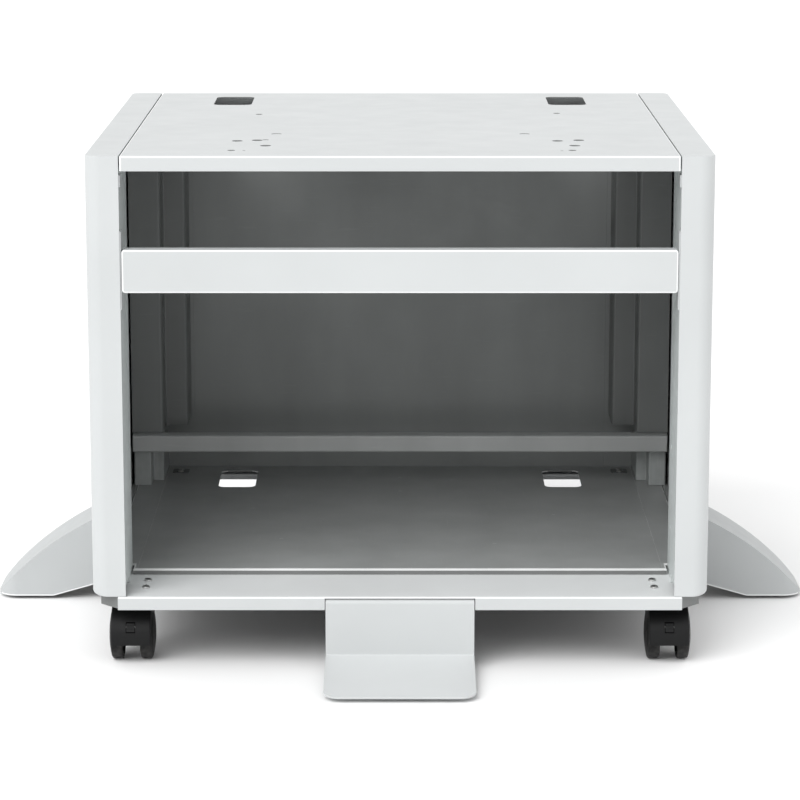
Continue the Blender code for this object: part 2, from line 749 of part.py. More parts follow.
def hood_mesh(braked):
    axle = Vector((0.0, -CASTER_TRAIL, WHEEL_RADIUS))
    bm = flat_plate(hood_outline(), 2 * HOOD_HALF)
    bmesh.ops.translate(bm, vec=axle, verts=bm.verts)
    hood = add_object("hood", mesh_from("hood", bm), BLACK_PLASTIC)
    boss = bmesh.new()
    boss_bottom = axle.z + 0.027
    add_cylinder(boss, (0, 0, (boss_bottom + BOSS_TOP) / 2), BOSS_RADIUS, BOSS_TOP - boss_bottom)
    boolean(hood, cutter("boss", boss), "UNION")
    cuts = bmesh.new()
    depth = 0.020
    for side in (-1, 1):
        place = axle + Vector((side * (WEB_HALF + depth / 2), 0, 0))
        add_cylinder(cuts, place, POCKET_RADIUS, depth, axis="X", segments=32)
    boolean(hood, cutter("pockets", cuts))
    bores = bmesh.new()
    add_cylinder(bores, axle, AXLE_BORE, 0.030, axis="X")
    add_cylinder(bores, (0, 0, KINGPIN_END - GAP + 0.010), KINGPIN_RADIUS + GAP, 0.020)
    boolean(hood, cutter("bores", bores))
    if braked:
        low = axle + Vector((-LEVER_SLOT_HALF, -0.032, LEVER_SLOT_LOW))
        high = axle + Vector((LEVER_SLOT_HALF, -0.0185, LEVER_SLOT_HIGH))
        boolean(hood, cutter("slot", box(low, high)))
        pin_hole = bmesh.new()
        pivot = axle + Vector((0, *LEVER_PIVOT))
        add_cylinder(pin_hole, pivot, LEVER_PIN_BORE, 0.0150, axis="X", segments=12)
        boolean(hood, cutter("pin_hole", pin_hole))
    mesh = settle(hood)
    shade_round(mesh)
    return mesh


def mount_plate_mesh():
    """A square plate under the base pan, with the swivel's kingpin below it."""
    top = PAN_TOP - HEAVY_SHEET - GAP
    half = PLATE_SIDE / 2
    plate = add_object("plate", mesh_from("plate", box(
        (-half, -half, top - PLATE_THICKNESS), (half, half, top))), STEEL)
    pin = bmesh.new()
    pin_top = top - PLATE_THICKNESS / 2
    add_cylinder(pin, (0, 0, (pin_top + KINGPIN_END) / 2), KINGPIN_RADIUS, pin_top - KINGPIN_END)
    boolean(plate, cutter("pin", pin), "UNION")
    return settle(plate)


def wheel_profile():
    """Half of a wheel's section: radius and distance from the caster's middle, outside first."""
    return [
        (0.0, WHEEL_OUTER),
        (0.0100, WHEEL_OUTER - 0.0004),
        (0.0200, WHEEL_OUTER - 0.0018),
        (WHEEL_RADIUS - 0.0010, WHEEL_OUTER - 0.0028),
        (WHEEL_RADIUS, WHEEL_OUTER - 0.0038),
        (WHEEL_RADIUS, WHEEL_INNER + 0.0010),
        (WHEEL_RADIUS - 0.0010, WHEEL_INNER),
        (AXLE_BORE, WHEEL_INNER),
        (AXLE_BORE, BORE_END),
        (0.0, BORE_END),
    ]


def lever_mesh():
    """The brake rocker, about its pivot: its face follows the hood, and its pin bore is inside."""
    low = LEVER_SLOT_LOW + LEVER_CLEARANCE
    high = LEVER_SLOT_HIGH - LEVER_CLEARANCE
    face = HOOD_RADIUS + 0.0004
    outline = []
    for index in range(5):
        height = low + (high - low) * index / 4
        outline.append((-math.sqrt(face * face - height * height), height))
    outline += [(-0.0195, high - 0.0006), (-0.0195, low + 0.0006)]
    bm = flat_plate(outline, 2 * LEVER_HALF)
    bmesh.ops.translate(bm, vec=-Vector((0, *LEVER_PIVOT)), verts=bm.verts)
    lever = add_object("lever", mesh_from("lever", bm), BLACK_PLASTIC)
    hole = bmesh.new()
    add_cylinder(hole, (0, 0, 0), LEVER_PIN_BORE, 0.020, axis="X", segments=12)
    boolean(lever, cutter("lever_hole", hole))
    return settle(lever)


def cross_rod(name, radius, half_length, material, location, parent, segments):
    bm = bmesh.new()
    add_cylinder(bm, (0, 0, 0), radius, 2 * half_length, axis="X", segments=segments)
    add_object(name, mesh_from(name, bm), material, location, parent)


def make_casters():
    plate = mount_plate_mesh()
    plain_hood = hood_mesh(False)
    braked_hood = hood_mesh(True)
    lever = lever_mesh()
    axle = Vector((0.0, -CASTER_TRAIL, WHEEL_RADIUS))
    for end, y in (("front", CASTER_FRONT_Y), ("rear", CASTER_REAR_Y)):
        for hand, side in (("left", -1), ("right", 1)):
            label = f"{end}_{hand}"
            pivot = bpy.data.objects.new(f"caster_{label}_swivel", None)
            pivot.location = (side * CASTER_X, y, 0.0)
            PARTS.objects.link(pivot)
            add_object(f"caster_{label}_mount", plate, STEEL, pivot.location)
            hood = braked_hood if end == "front" else plain_hood
            add_object(f"caster_{label}_hood", hood, BLACK_PLASTIC, parent=pivot)
            cross_rod(f"caster_{label}_axle", AXLE_RADIUS, AXLE_HALF, STEEL, axle, pivot, 16)
            for wheel, turn in (("left", -90.0), ("right", 90.0)):
                turned(f"caster_{label}_wheel_{wheel}", wheel_profile(), BLACK_TREAD,
                       WHEEL_STEPS, axle, pivot, turn)
            if end == "front":
                place = axle + Vector((0, *LEVER_PIVOT))
                add_object(f"caster_{label}_brake_lever", lever, BLACK_PLASTIC, place, pivot)
                cross_rod(f"caster_{label}_brake_pin", LEVER_PIN_RADIUS, 0.0070, STEEL,
                          place, pivot, 8)


def make_stand():
    make_top_plate()
    make_rear_cover()
    make_rear_panel()
    make_base_pan()
    make_floor_panel()
    make_front_rail()
    make_rear_crossbar()
    make_sill_screws()
    make_front_foot()
    trim = body_side_cutter()
    for hand, side in (("left", -1), ("right", 1)):
        make_side_cover(f"side_cover_{hand}", side)
        make_front_post(f"front_post_{hand}", side)
        make_rear_post(f"rear_post_{hand}", side)
        make_rear_corner_panel(f"rear_corner_panel_{hand}", side)
        make_side_rail(f"side_rail_{hand}", side)
        make_side_plate(f"rail_bracket_{hand}", side, RAIL_BOTTOM - 0.016, RAIL_TOP + 0.017)
        make_side_plate(f"post_clip_{hand}", side, PLATE_BOTTOM - 0.015, PLATE_BOTTOM - 0.004)
        make_stabilizer_cover(f"stabilizer_cover_{hand}", side, trim)
        make_stabilizer_arm(f"stabilizer_arm_{hand}", side)
    make_casters()


make_stand()
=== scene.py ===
"""The looks of the mobile printer stand: fine shapes, materials and a plain studio.

Metres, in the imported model's frame: +X to the viewer's right, -Y out of the open front, +Z up.
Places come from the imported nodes' boxes; the sizes below are what the boxes can't tell.
"""
import json
import math

import bmesh
import bpy
from mathutils import Matrix, Vector


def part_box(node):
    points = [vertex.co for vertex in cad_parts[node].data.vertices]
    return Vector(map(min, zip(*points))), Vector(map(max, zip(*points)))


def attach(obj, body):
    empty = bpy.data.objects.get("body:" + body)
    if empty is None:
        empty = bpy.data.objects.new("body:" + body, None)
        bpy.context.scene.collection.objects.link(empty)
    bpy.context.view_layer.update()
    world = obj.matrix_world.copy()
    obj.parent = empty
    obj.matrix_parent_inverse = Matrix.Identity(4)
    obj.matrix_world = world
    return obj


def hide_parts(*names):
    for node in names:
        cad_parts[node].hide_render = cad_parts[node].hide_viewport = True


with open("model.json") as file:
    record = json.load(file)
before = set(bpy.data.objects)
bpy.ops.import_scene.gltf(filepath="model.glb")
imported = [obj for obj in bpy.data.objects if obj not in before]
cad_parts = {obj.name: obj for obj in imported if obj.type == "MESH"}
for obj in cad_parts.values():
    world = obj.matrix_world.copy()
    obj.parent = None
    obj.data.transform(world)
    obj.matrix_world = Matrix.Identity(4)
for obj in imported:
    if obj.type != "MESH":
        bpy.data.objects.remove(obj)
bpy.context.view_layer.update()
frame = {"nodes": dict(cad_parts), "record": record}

# Places read from the frame
plate_low, plate_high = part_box("top_plate")
cover_low, cover_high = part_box("side_cover_right")
pan_low, pan_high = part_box("base_pan")
floor_low, floor_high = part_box("floor_panel")
rail_low, rail_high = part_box("front_rail")
foot_low, foot_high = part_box("front_foot")
post_low, post_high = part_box("front_post_right")
rear_post_low, rear_post_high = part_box("rear_post_right")
corner_low, corner_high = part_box("rear_corner_panel_right")
crossbar_low, crossbar_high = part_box("rear_crossbar")
back_low, back_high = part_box("rear_cover")
panel_low, panel_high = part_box("rear_panel")
fin_low, fin_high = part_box("stabilizer_cover_right")

FRONT = plate_low.y
BACK = plate_high.y
TOP = plate_high.z
HALF = cover_high.x

# Sheet metal
SHEET = 0.0012
HEAVY_SHEET = 0.0015
BEND = 0.0015
BURR = 0.00025

# Rectangular openings in the top plate, the floor and the base pan
PORT_INNER = 0.157
PORT_OUTER = 0.197
PORT_NEAR = FRONT + 0.427
PORT_FAR = FRONT + 0.505
PORT_RADIUS = 0.008
PAN_PORT_MARGIN = 0.008

# Round holes in the top plate: x, distance behind the front face, diameter
PLATE_HOLES = (
    (-0.1450, 0.340, 0.0072),
    (-0.1559, 0.116, 0.0105),
    (-0.1370, 0.121, 0.0105),
    (-0.1272, 0.079, 0.0105),
    (-0.1579, 0.0435, 0.0074),
    (-0.1459, 0.042, 0.0028),
    (0.1616, 0.349, 0.0072),
    (0.1511, 0.116, 0.0105),
    (0.1716, 0.121, 0.0105),
    (0.1656, 0.079, 0.0105),
    (0.1614, 0.0435, 0.0074),
    (0.1514, 0.040, 0.0028),
)
PLATE_DIMPLES = ((-0.1205, 0.1714, 0.0100), (0.1215, 0.1714, 0.0100), (-0.1290, 0.124, 0.006))
DIMPLE_DEPTH = 0.0005
PLATE_BORDER = 0.006

# Side covers
COVER_FRONT_RADIUS = 0.015
COVER_BACK_RADIUS = 0.006
COVER_LIP_RADIUS = 0.0042
COVER_TOP_RADIUS = 0.0015

# Base pan and floor
PAN_CHAMFER = 0.018
PAN_CORNER_STEP = 0.005
SCREW_X = 0.244
SCREW_DEPTHS = (0.034, 0.060)
FLOOR_DIMPLES = ((-0.055, 0.459), (0.056, 0.459), (0.0, 0.407), (0.0, 0.470), (-0.155, 0.330),
                 (0.160, 0.300), (-0.120, 0.200), (0.095, 0.180))
FLOOR_MARK_DEPTH = 0.00015
FLOOR_FRONT_HALF = 0.2603
FLOOR_SEAM_X = 0.2555
SEAM_HALF = 0.0004
SEAM_DEPTH = 0.0003
PIECE_GAP = 0.0003

# Fixings
SILL_SCREW = (0.0036, 0.0024)
BRACKET_SCREW = (0.0030, 0.0018)
REAR_SCREW = (0.0036, 0.0022)
REAR_SCREW_Z = 0.104
BRACKET_PLACE = (0.242, FRONT + 0.502)
BRACKET_HALF = 0.009
BRACKET_BOTTOM = 0.0001
BRACKET_TOP = 0.0009

# Rear panel
PANEL_SEAM_X = 0.2275
PANEL_HOLE_X = 0.245
PANEL_HOLES = (0.15, 0.25, 0.35, 0.45)

# Posts
POST_STEP = 0.052
POST_STEP_BACK = 0.0012
POST_FOOT_LIFT = 0.0075
POST_HOLES = (0.12, 0.20, 0.28, 0.33, 0.44)
POST_HOLE_DEPTH = 0.078
REAR_SHOULDER_Y = FRONT + 0.457
REAR_SHOULDER_X = 0.2693
CORNER_STEP_Y = FRONT + 0.470
CORNER_MIDDLE = 0.2561

# Front foot
FOOT_SHEET = 0.002
FOOT_TOP_BEND = 0.0045
FOOT_LOW_BEND = 0.0016
FOOT_CORNER_RADIUS = 0.015
FOOT_DROP = 0.0141
FOOT_TIP_Z = 0.0048

# Stabilizers
FIN_ROOT = (HALF - 0.003, 0.0965)
FIN_SHOULDER = (0.3675, 0.0640)
FIN_TIP = (0.4145, 0.0075)
FIN_BOTTOM = 0.0035
FIN_KNEE = 0.358
FIN_RISE = 0.285
FIN_CORNER = 0.020
FIN_WALL = 0.0025
FIN_EDGE = 0.0009
FIN_HEM = 0.0013

# Casters
TRAIL = 0.020
WHEEL_RADIUS = 0.025
WHEEL_INNER = 0.0085
WHEEL_OUTER = 0.0222
AXLE_BORE = 0.0043
BORE_END = 0.0185
WEB_HALF = 0.0080
HOOD_HALF = 0.0190
HOOD_RADIUS = 0.0295
POCKET_RADIUS = 0.0265
BOSS_RADIUS = 0.012
BOSS_START = 0.027
KINGPIN_BORE = 0.0043
SLOT_HALF = 0.0045
SLOT_LOW = 0.0068
SLOT_HIGH = 0.0166
LEVER_HALF = 0.0040
LEVER_CLEARANCE = 0.0009
LEVER_PIVOT = (-0.0240, 0.0117)

SIDES = (("left", -1), ("right", 1))

# Studio: each light is a name, azimuth left of the front, elevation, spread in degrees, strength
WORLD_LIGHT = 0.98
STUDIO_LIGHTS = (("key", 32.0, 42.0, 44.0, 1.9),)
CAMERA_DISTANCE = 2.858
CAMERA_HEIGHT = 0.8566
CAMERA_PITCH = 11.744
CAMERA_LENS = 140.2


# Materials

class Shader:
    """A small helper that adds nodes to one material and links them."""

    def __init__(self, name):
        self.material = bpy.data.materials.new(name)
        self.material.use_nodes = True
        self.nodes = self.material.node_tree.nodes
        self.links = self.material.node_tree.links
        self.principled = self.nodes["Principled BSDF"]
        self.place = self.nodes.new("ShaderNodeTexCoord").outputs["Object"]

    def noise(self, size, detail=2.0, stretch=(1.0, 1.0, 1.0)):
        """Noise whose blobs are about size metres across, stretched along the axes."""
        mapping = self.nodes.new("ShaderNodeMapping")
        mapping.inputs["Scale"].default_value = [1.0 / factor for factor in stretch]
        self.links.new(self.place, mapping.inputs["Vector"])
        node = self.nodes.new("ShaderNodeTexNoise")
        node.inputs["Scale"].default_value = 1.0 / size
        node.inputs["Detail"].default_value = detail
        self.links.new(mapping.outputs["Vector"], node.inputs["Vector"])
        return node.outputs["Fac"]

    def spread(self, value, low, high, start=0.3, end=0.7):
        """Maps the middle of a 0 to 1 value onto low to high."""
        node = self.nodes.new("ShaderNodeMapRange")
        node.inputs["From Min"].default_value = start
        node.inputs["From Max"].default_value = end
        node.inputs["To Min"].default_value = low
        node.inputs["To Max"].default_value = high
        self.links.new(value, node.inputs["Value"])
        return node.outputs["Result"]

    def mix(self, factor, first, second):
        """A colour between two; each is a colour or an output."""
        node = self.nodes.new("ShaderNodeMix")
        node.data_type = "RGBA"
        self.links.new(factor, node.inputs["Factor"])
        for socket, colour in ((node.inputs["A"], first), (node.inputs["B"], second)):
            if isinstance(colour, tuple):
                socket.default_value = (*colour, 1.0)
            else:
                self.links.new(colour, socket)
        return node.outputs["Result"]

    def colour(self, output):
        self.links.new(output, self.principled.inputs["Base Color"])

    def roughness(self, output):
        self.links.new(output, self.principled.inputs["Roughness"])

    def bump(self, height, distance, strength=1.0):
        node = self.nodes.new("ShaderNodeBump")
        node.inputs["Distance"].default_value = distance
        node.inputs["Strength"].default_value = strength
        self.links.new(height, node.inputs["Height"])
        previous = self.principled.inputs["Normal"]
        if previous.is_linked:
            self.links.new(previous.links[0].from_socket, node.inputs["Normal"])
        self.links.new(node.outputs["Normal"], previous)


def shade(colour, factor):
    return tuple(min(1.0, channel * factor) for channel in colour)


def powder_coat(name, colour, roughness, cloud=0.02, peel=0.00003):
    """Paint with faint cloudy patches, a fine orange peel and a few dull rubbed places."""
    shader = Shader(name)
    clouds = shader.spread(shader.noise(0.09, 3.0), 0.0, 1.0)
    base = shader.mix(clouds, shade(colour, 1.0 - cloud), shade(colour, 1.0 + cloud))
    specks = shader.spread(shader.noise(0.0022, 2.0), 0.0, 0.35, 0.66, 0.78)
    shader.colour(shader.mix(specks, base, shade(colour, 0.93)))
    shader.roughness(shader.spread(shader.noise(0.035, 4.0), roughness - 0.05, roughness + 0.07))
    shader.bump(shader.noise(0.0016, 2.0), peel)
    return shader.material


def grey_coat(name, colour, roughness):
    """The cabinet's inner paint: a little grainy, with soft vertical drifts and light scuffs."""
    shader = Shader(name)
    drift = shader.spread(shader.noise(0.05, 3.0, (1.0, 1.0, 5.0)), 0.0, 1.0)
    base = shader.mix(drift, shade(colour, 0.93), shade(colour, 1.07))
    scuffs = shader.spread(shader.noise(0.004, 5.0, (9.0, 1.0, 1.0)), 0.0, 0.25, 0.62, 0.8)
    shader.colour(shader.mix(scuffs, base, shade(colour, 1.35)))
    shader.roughness(shader.spread(shader.noise(0.03, 3.0), roughness - 0.06, roughness + 0.08))
    shader.bump(shader.noise(0.0012, 2.0), 0.00003)
    return shader.material


def floor_coat(name, colour, roughness):
    """The shelf floor: smooth grey with fine rubbed lines across its width."""
    shader = Shader(name)
    cloud = shader.spread(shader.noise(0.07, 3.0), 0.0, 1.0)
    base = shader.mix(cloud, shade(colour, 0.92), shade(colour, 1.08))
    lines = shader.spread(shader.noise(0.0022, 3.0, (1.0, 16.0, 1.0)), 0.0, 0.3, 0.6, 0.8)
    rubbed = shader.mix(lines, base, shade(colour, 1.3))
    shader.colour(rubbed)
    shader.roughness(shader.spread(shader.noise(0.05, 2.0), roughness - 0.04, roughness + 0.05))
    shader.bump(shader.noise(0.0022, 3.0, (1.0, 16.0, 1.0)), 0.00002)
    return shader.material


def galvanised(name, colour, roughness, metallic):
    """Dull zinc-coated sheet: soft spangle cells and faint vertical rolling marks."""
    shader = Shader(name)
    cells = shader.nodes.new("ShaderNodeTexVoronoi")
    cells.inputs["Scale"].default_value = 130.0
    shader.links.new(shader.place, cells.inputs["Vector"])
    spangle = shader.spread(cells.outputs["Distance"], 0.0, 1.0, 0.1, 0.8)
    base = shader.mix(spangle, shade(colour, 0.93), shade(colour, 1.06))
    streaks = shader.spread(shader.noise(0.0016, 3.0, (1.0, 1.0, 30.0)), 0.0, 0.5)
    shader.colour(shader.mix(streaks, base, shade(colour, 0.86)))
    shader.roughness(shader.spread(shader.noise(0.01, 3.0), roughness - 0.07, roughness + 0.1))
    shader.principled.inputs["Metallic"].default_value = metallic
    shader.bump(shader.noise(0.0016, 3.0, (1.0, 1.0, 30.0)), 0.00002)
    return shader.material


def moulded(name, colour, roughness, depth=0.00004, cloud=0.02, specular=0.5):
    """Injection-moulded plastic with a fine spark-eroded grain."""
    shader = Shader(name)
    cloud_mask = shader.spread(shader.noise(0.06, 2.0), 0.0, 1.0)
    shader.colour(shader.mix(cloud_mask, shade(colour, 1 - cloud), shade(colour, 1 + cloud)))
    shader.roughness(shader.spread(shader.noise(0.012, 3.0), roughness - 0.05, roughness + 0.07))
    shader.principled.inputs["Specular IOR Level"].default_value = specular
    shader.bump(shader.noise(0.0007, 1.0), depth)
    return shader.material


def wheel_nylon(name, colour, dust, roughness):
    """Hard black wheel: grey floor dust on the tread, fine turning marks on the faces."""
    shader = Shader(name)
    split = shader.nodes.new("ShaderNodeSeparateXYZ")
    shader.links.new(shader.place, split.inputs["Vector"])
    flat = shader.nodes.new("ShaderNodeCombineXYZ")
    shader.links.new(split.outputs["Y"], flat.inputs["Y"])
    shader.links.new(split.outputs["Z"], flat.inputs["Z"])
    radius = shader.nodes.new("ShaderNodeVectorMath")
    radius.operation = "LENGTH"
    shader.links.new(flat.outputs["Vector"], radius.inputs[0])
    tread = shader.spread(radius.outputs["Value"], 0.0, 1.0,
                          WHEEL_RADIUS - 0.0012, WHEEL_RADIUS - 0.0002)
    patches = shader.spread(shader.noise(0.006, 4.0), 0.0, 1.0, 0.35, 0.75)
    gather = shader.nodes.new("ShaderNodeMath")
    gather.operation = "MULTIPLY"
    shader.links.new(tread, gather.inputs[0])
    shader.links.new(patches, gather.inputs[1])
    shader.colour(shader.mix(gather.outputs["Value"], colour, dust))
    shader.roughness(shader.spread(shader.noise(0.005, 3.0), roughness - 0.05, roughness + 0.1))
    shader.principled.inputs["Specular IOR Level"].default_value = 0.15
    rings = shader.nodes.new("ShaderNodeTexWave")
    rings.wave_type = "RINGS"
    rings.rings_direction = "X"
    rings.inputs["Scale"].default_value = 260.0
    shader.links.new(shader.place, rings.inputs["Vector"])
    shader.bump(rings.outputs["Fac"], 0.00002, 0.5)
    return shader.material


def brushed(name, colour, roughness):
    """Zinc-plated steel with fine brush marks."""
    shader = Shader(name)
    marks = shader.noise(0.0007, 3.0, (12.0, 1.0, 1.0))
    stain = shader.spread(shader.noise(0.012, 3.0), 0.0, 1.0)
    shader.colour(shader.mix(stain, shade(colour, 0.88), shade(colour, 1.08)))
    shader.roughness(shader.spread(marks, roughness - 0.06, roughness + 0.12))
    shader.principled.inputs["Metallic"].default_value = 1.0
    shader.bump(marks, 0.00002)
    return shader.material


WHITE = (0.51, 0.527, 0.53)

FINISHES = {
    "white_paint": powder_coat("white_powder_coat", WHITE, 0.42),
    # Painted highlight: a lighter white for the faces on bends and hems, standing in for the light
    # they catch.
    "bend_painted_highlight": powder_coat("white_coat_painted_bend_highlight", (0.80, 0.815, 0.818), 0.3),
    # Painted highlight: a lighter copy of the floor grey for the floor's bend faces.
    "floor_bend_painted_highlight": floor_coat("grey_floor_painted_bend_highlight", (0.62, 0.63, 0.625), 0.3),
    # Painted shade: a near-black coat for the white base's underside, so less light bounces onto
    # the ground under the body.
    "underside_painted_shade": grey_coat("dark_underside_painted_shade", (0.06, 0.06, 0.06), 0.7),
    # Painted light: a lighter copy of the white for the foot's sloping toe.
    "toe_painted_light": powder_coat("white_coat_toe_painted_light", (0.61, 0.628, 0.632), 0.4),
    # Painted light: a lighter copy of the white for the top of the base, the sill.
    "sill_painted_light": powder_coat("white_coat_sill_painted_light", (0.74, 0.755, 0.758), 0.4),
    # Painted shade on white sheet in hole walls and base corners; also the floor brackets' own
    # dark grey.
    "painted_shade_and_bracket_grey": grey_coat("grey_painted_shade_and_brackets", (0.17, 0.177, 0.175), 0.5),
    # Painted shade: a darker copy of the floor grey for the floor's front riser.
    "riser_painted_shade": floor_coat("grey_floor_riser_painted_shade", (0.15, 0.155, 0.153), 0.4),
    # Painted shade: a darker copy of the inner grey for the rear corner sheets.
    "corner_sheet_painted_shade": grey_coat("dark_grey_painted_shade", (0.16, 0.167, 0.164), 0.45),
    "grey_paint": grey_coat("grey_inner_coat", (0.25, 0.26, 0.257), 0.45),
    # Painted light: a lighter copy of the inner grey for the rear crossbar.
    "crossbar_painted_light": grey_coat("light_grey_painted_light", (0.42, 0.43, 0.427), 0.45),
    "floor_paint": floor_coat("grey_floor_coat", (0.32, 0.328, 0.325), 0.34),
    # Painted shade: a darker copy of the galvanised sheet for the rear columns.
    "zinc_painted_shade": galvanised("galvanised_rear_painted_shade", (0.40, 0.42, 0.415), 0.5, 0.25),
    "zinc_plate": galvanised("galvanised_sheet", (0.70, 0.74, 0.735), 0.45, 0.25),
    "white_plastic": moulded("white_moulding", (0.45, 0.466, 0.469), 0.48, cloud=0.012),
    "black_plastic": moulded("black_moulding", (0.010, 0.0102, 0.0105), 0.45, depth=0.00005,
                             specular=0.15),
    "black_tread": wheel_nylon("black_wheel", (0.009, 0.009, 0.0092), (0.045, 0.044, 0.042), 0.45),
    "steel": brushed("zinc_plated_steel", (0.56, 0.56, 0.55), 0.32),
}


# Mesh helpers

def box(low, high):
    size = Vector(high) - Vector(low)
    centre = (Vector(high) + Vector(low)) / 2
    bm = bmesh.new()
    place = Matrix.Translation(centre) @ Matrix.Diagonal((*size, 1.0))
    bmesh.ops.create_cube(bm, size=1.0, matrix=place)
    return bm


def near(value, target):
    return abs(value - target) < 1e-5


def along(edge, axis):
    """True for an edge that runs along the axis, 0 for X, 1 for Y, 2 for Z."""
    first, second = (vert.co for vert in edge.verts)
    return all(near(first[k], second[k]) for k in range(3) if k != axis)


def bevel(bm, edges, radius, segments):
    bmesh.ops.bevel(bm, geom=edges, offset=radius, segments=segments, profile=0.5,
                    affect="EDGES", clamp_overlap=True)


def tray(low, high, axis, sign, corner, corner_steps, rim, rim_steps):
    """Five sides of a box, open towards the sign's end of the axis.

    The edges along the axis get the corner radius, and the closed face's border the rim radius.
    """
    bm = box(low, high)
    if corner > 0:
        bevel(bm, [edge for edge in bm.edges if along(edge, axis)], corner, corner_steps)
    closed = low[axis] if sign > 0 else high[axis]
    open_end = high[axis] if sign > 0 else low[axis]
    lids = [face for face in bm.faces if all(near(vert.co[axis], open_end) for vert in face.verts)]
    bmesh.ops.delete(bm, geom=lids, context="FACES")
    border = [edge for edge in bm.edges if all(near(vert.co[axis], closed) for vert in edge.verts)]
    bevel(bm, border, rim, rim_steps)
    return bm


def mirrored(bm, side):
    if side < 0:
        bmesh.ops.scale(bm, vec=(-1.0, 1.0, 1.0), verts=bm.verts)
        bmesh.ops.reverse_faces(bm, faces=bm.faces)
    return bm


def arc(centre, radius, start, end, steps):
    points = []
    for index in range(steps + 1):
        angle = math.radians(start + (end - start) * index / steps)
        points.append((centre[0] + radius * math.cos(angle), centre[1] + radius * math.sin(angle)))
    return points


def round_path(points, radius, steps=8):
    """A polyline whose inner corners are replaced by arcs."""
    path = [Vector(points[0])]
    for before, corner, after in zip(points, points[1:], points[2:]):
        corner = Vector(corner)
        to_before = (Vector(before) - corner).normalized()
        to_after = (Vector(after) - corner).normalized()
        half_angle = to_before.angle(to_after) / 2
        reach = radius / math.tan(half_angle)
        centre = corner + (to_before + to_after).normalized() * radius / math.sin(half_angle)
        first = corner + to_before * reach - centre
        last = corner + to_after * reach - centre
        for index in range(steps + 1):
            spoke = first.lerp(last, index / steps).normalized() * radius
            path.append(centre + spoke)
    path.append(Vector(points[-1]))
    return path


def join_rows(bm, first, second, closed):
    """Faces between two equal rows of vertices, and from the last to the first if closed."""
    count = len(first)
    for index in range(count if closed else count - 1):
        following = (index + 1) % count
        bm.faces.new((first[index], first[following], second[following], second[index]))


def strip(path, start, end):
    """Faces between two copies of a path, each placed in space by its own function."""
    bm = bmesh.new()
    rows = [[bm.verts.new(make(point)) for point in path] for make in (start, end)]
    join_rows(bm, rows[0], rows[1], closed=False)
    return bm


def plate_along_x(outline, width):
    """A filled YZ outline with its width along X, centred on x = 0."""
    bm = bmesh.new()
    rims = [[bm.verts.new((x, y, z)) for y, z in outline] for x in (-width / 2, width / 2)]
    bm.faces.new(rims[0][::-1])
    bm.faces.new(rims[1])
    join_rows(bm, rims[0], rims[1], closed=True)
    bmesh.ops.recalc_face_normals(bm, faces=bm.faces)
    return bm


def add_cylinder(bm, centre, radius, length, axis="Z", segments=32, top_radius=None):
    turns = {"X": Matrix.Rotation(math.pi / 2, 4, "Y"), "Z": Matrix.Identity(4),
             "Y": Matrix.Rotation(-math.pi / 2, 4, "X")}
    place = Matrix.Translation(centre) @ turns[axis]
    top_radius = radius if top_radius is None else top_radius
    bmesh.ops.create_cone(bm, cap_ends=True, segments=segments, radius1=radius,
                          radius2=top_radius, depth=length, matrix=place)


def mesh_from(name, bm):
    mesh = bpy.data.meshes.new(name)
    bm.to_mesh(mesh)
    bm.free()
    return mesh


def helper(bm):
    """A helper object for a Boolean; it is removed once the cut is settled."""
    obj = bpy.data.objects.new("helper", mesh_from("helper", bm))
    bpy.context.scene.collection.objects.link(obj)
    return obj


def built(name, bm, thickness=0.0, offset=-1.0, cuts=(), unions=(), edge=BURR, edge_steps=2):
    """The finished mesh: sheet thickness, Booleans and softened edges, then smooth normals."""
    obj = helper(bm)
    if thickness:
        solidify = obj.modifiers.new("sheet", "SOLIDIFY")
        solidify.thickness = thickness
        solidify.offset = offset
        solidify.use_even_offset = True
    others = [(other, "UNION") for other in unions] + [(other, "DIFFERENCE") for other in cuts]
    for other, operation in others:
        modifier = obj.modifiers.new("cut", "BOOLEAN")
        modifier.operation = operation
        modifier.solver = "EXACT"
        modifier.object = other
    if edge:
        soften = obj.modifiers.new("edges", "BEVEL")
        soften.width = edge
        soften.segments = edge_steps
        soften.limit_method = "ANGLE"
        soften.angle_limit = math.radians(50)
    graph = bpy.context.evaluated_depsgraph_get()
    mesh = bpy.data.meshes.new_from_object(obj.evaluated_get(graph))
    mesh.name = name
    for item in (obj, *(other for other, _ in others)):
        bpy.data.objects.remove(item)
    mesh.shade_smooth()
    mesh.set_sharp_from_angle(angle=math.radians(50))
    return mesh


def repaint(mesh, finish, chosen):
    """Gives the faces whose centre and normal are chosen a second finish."""
    mesh.materials.append(FINISHES[finish])
    for face in mesh.polygons:
        if chosen(face.center, face.normal):
            face.material_index = len(mesh.materials) - 1


def on_bend(_, normal):
    return max(abs(normal.x), abs(normal.y), abs(normal.z)) < 0.985


def piece(name, mesh, finish, body, nodes=(), location=(0.0, 0.0, 0.0), look=None):
    """An object in its slot's finish, or its own look, on its body in place of its CAD nodes."""
    obj = bpy.data.objects.new(name, mesh)
    obj.location = location
    bpy.context.scene.collection.objects.link(obj)
    mesh.materials.clear()
    mesh.materials.append(FINISHES[look or finish])
    weighted = obj.modifiers.new("normals", "WEIGHTED_NORMAL")
    weighted.keep_sharp = True
    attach(obj, body)
    if nodes:
        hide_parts(*nodes)
    return obj


# Cabinet

def port_blocks(level, margin=0.0):
    """Cutters for the two rounded rectangular openings at one height."""
    blocks = []
    for side in (-1, 1):
        across = sorted((side * (PORT_INNER - margin), side * (PORT_OUTER + margin)))
        bm = box((across[0], PORT_NEAR - margin, level - 0.006),
                 (across[1], PORT_FAR + margin, level + 0.004))
        bevel(bm, [edge for edge in bm.edges if along(edge, 2)], PORT_RADIUS, 8)
        blocks.append(helper(bm))
    return blocks


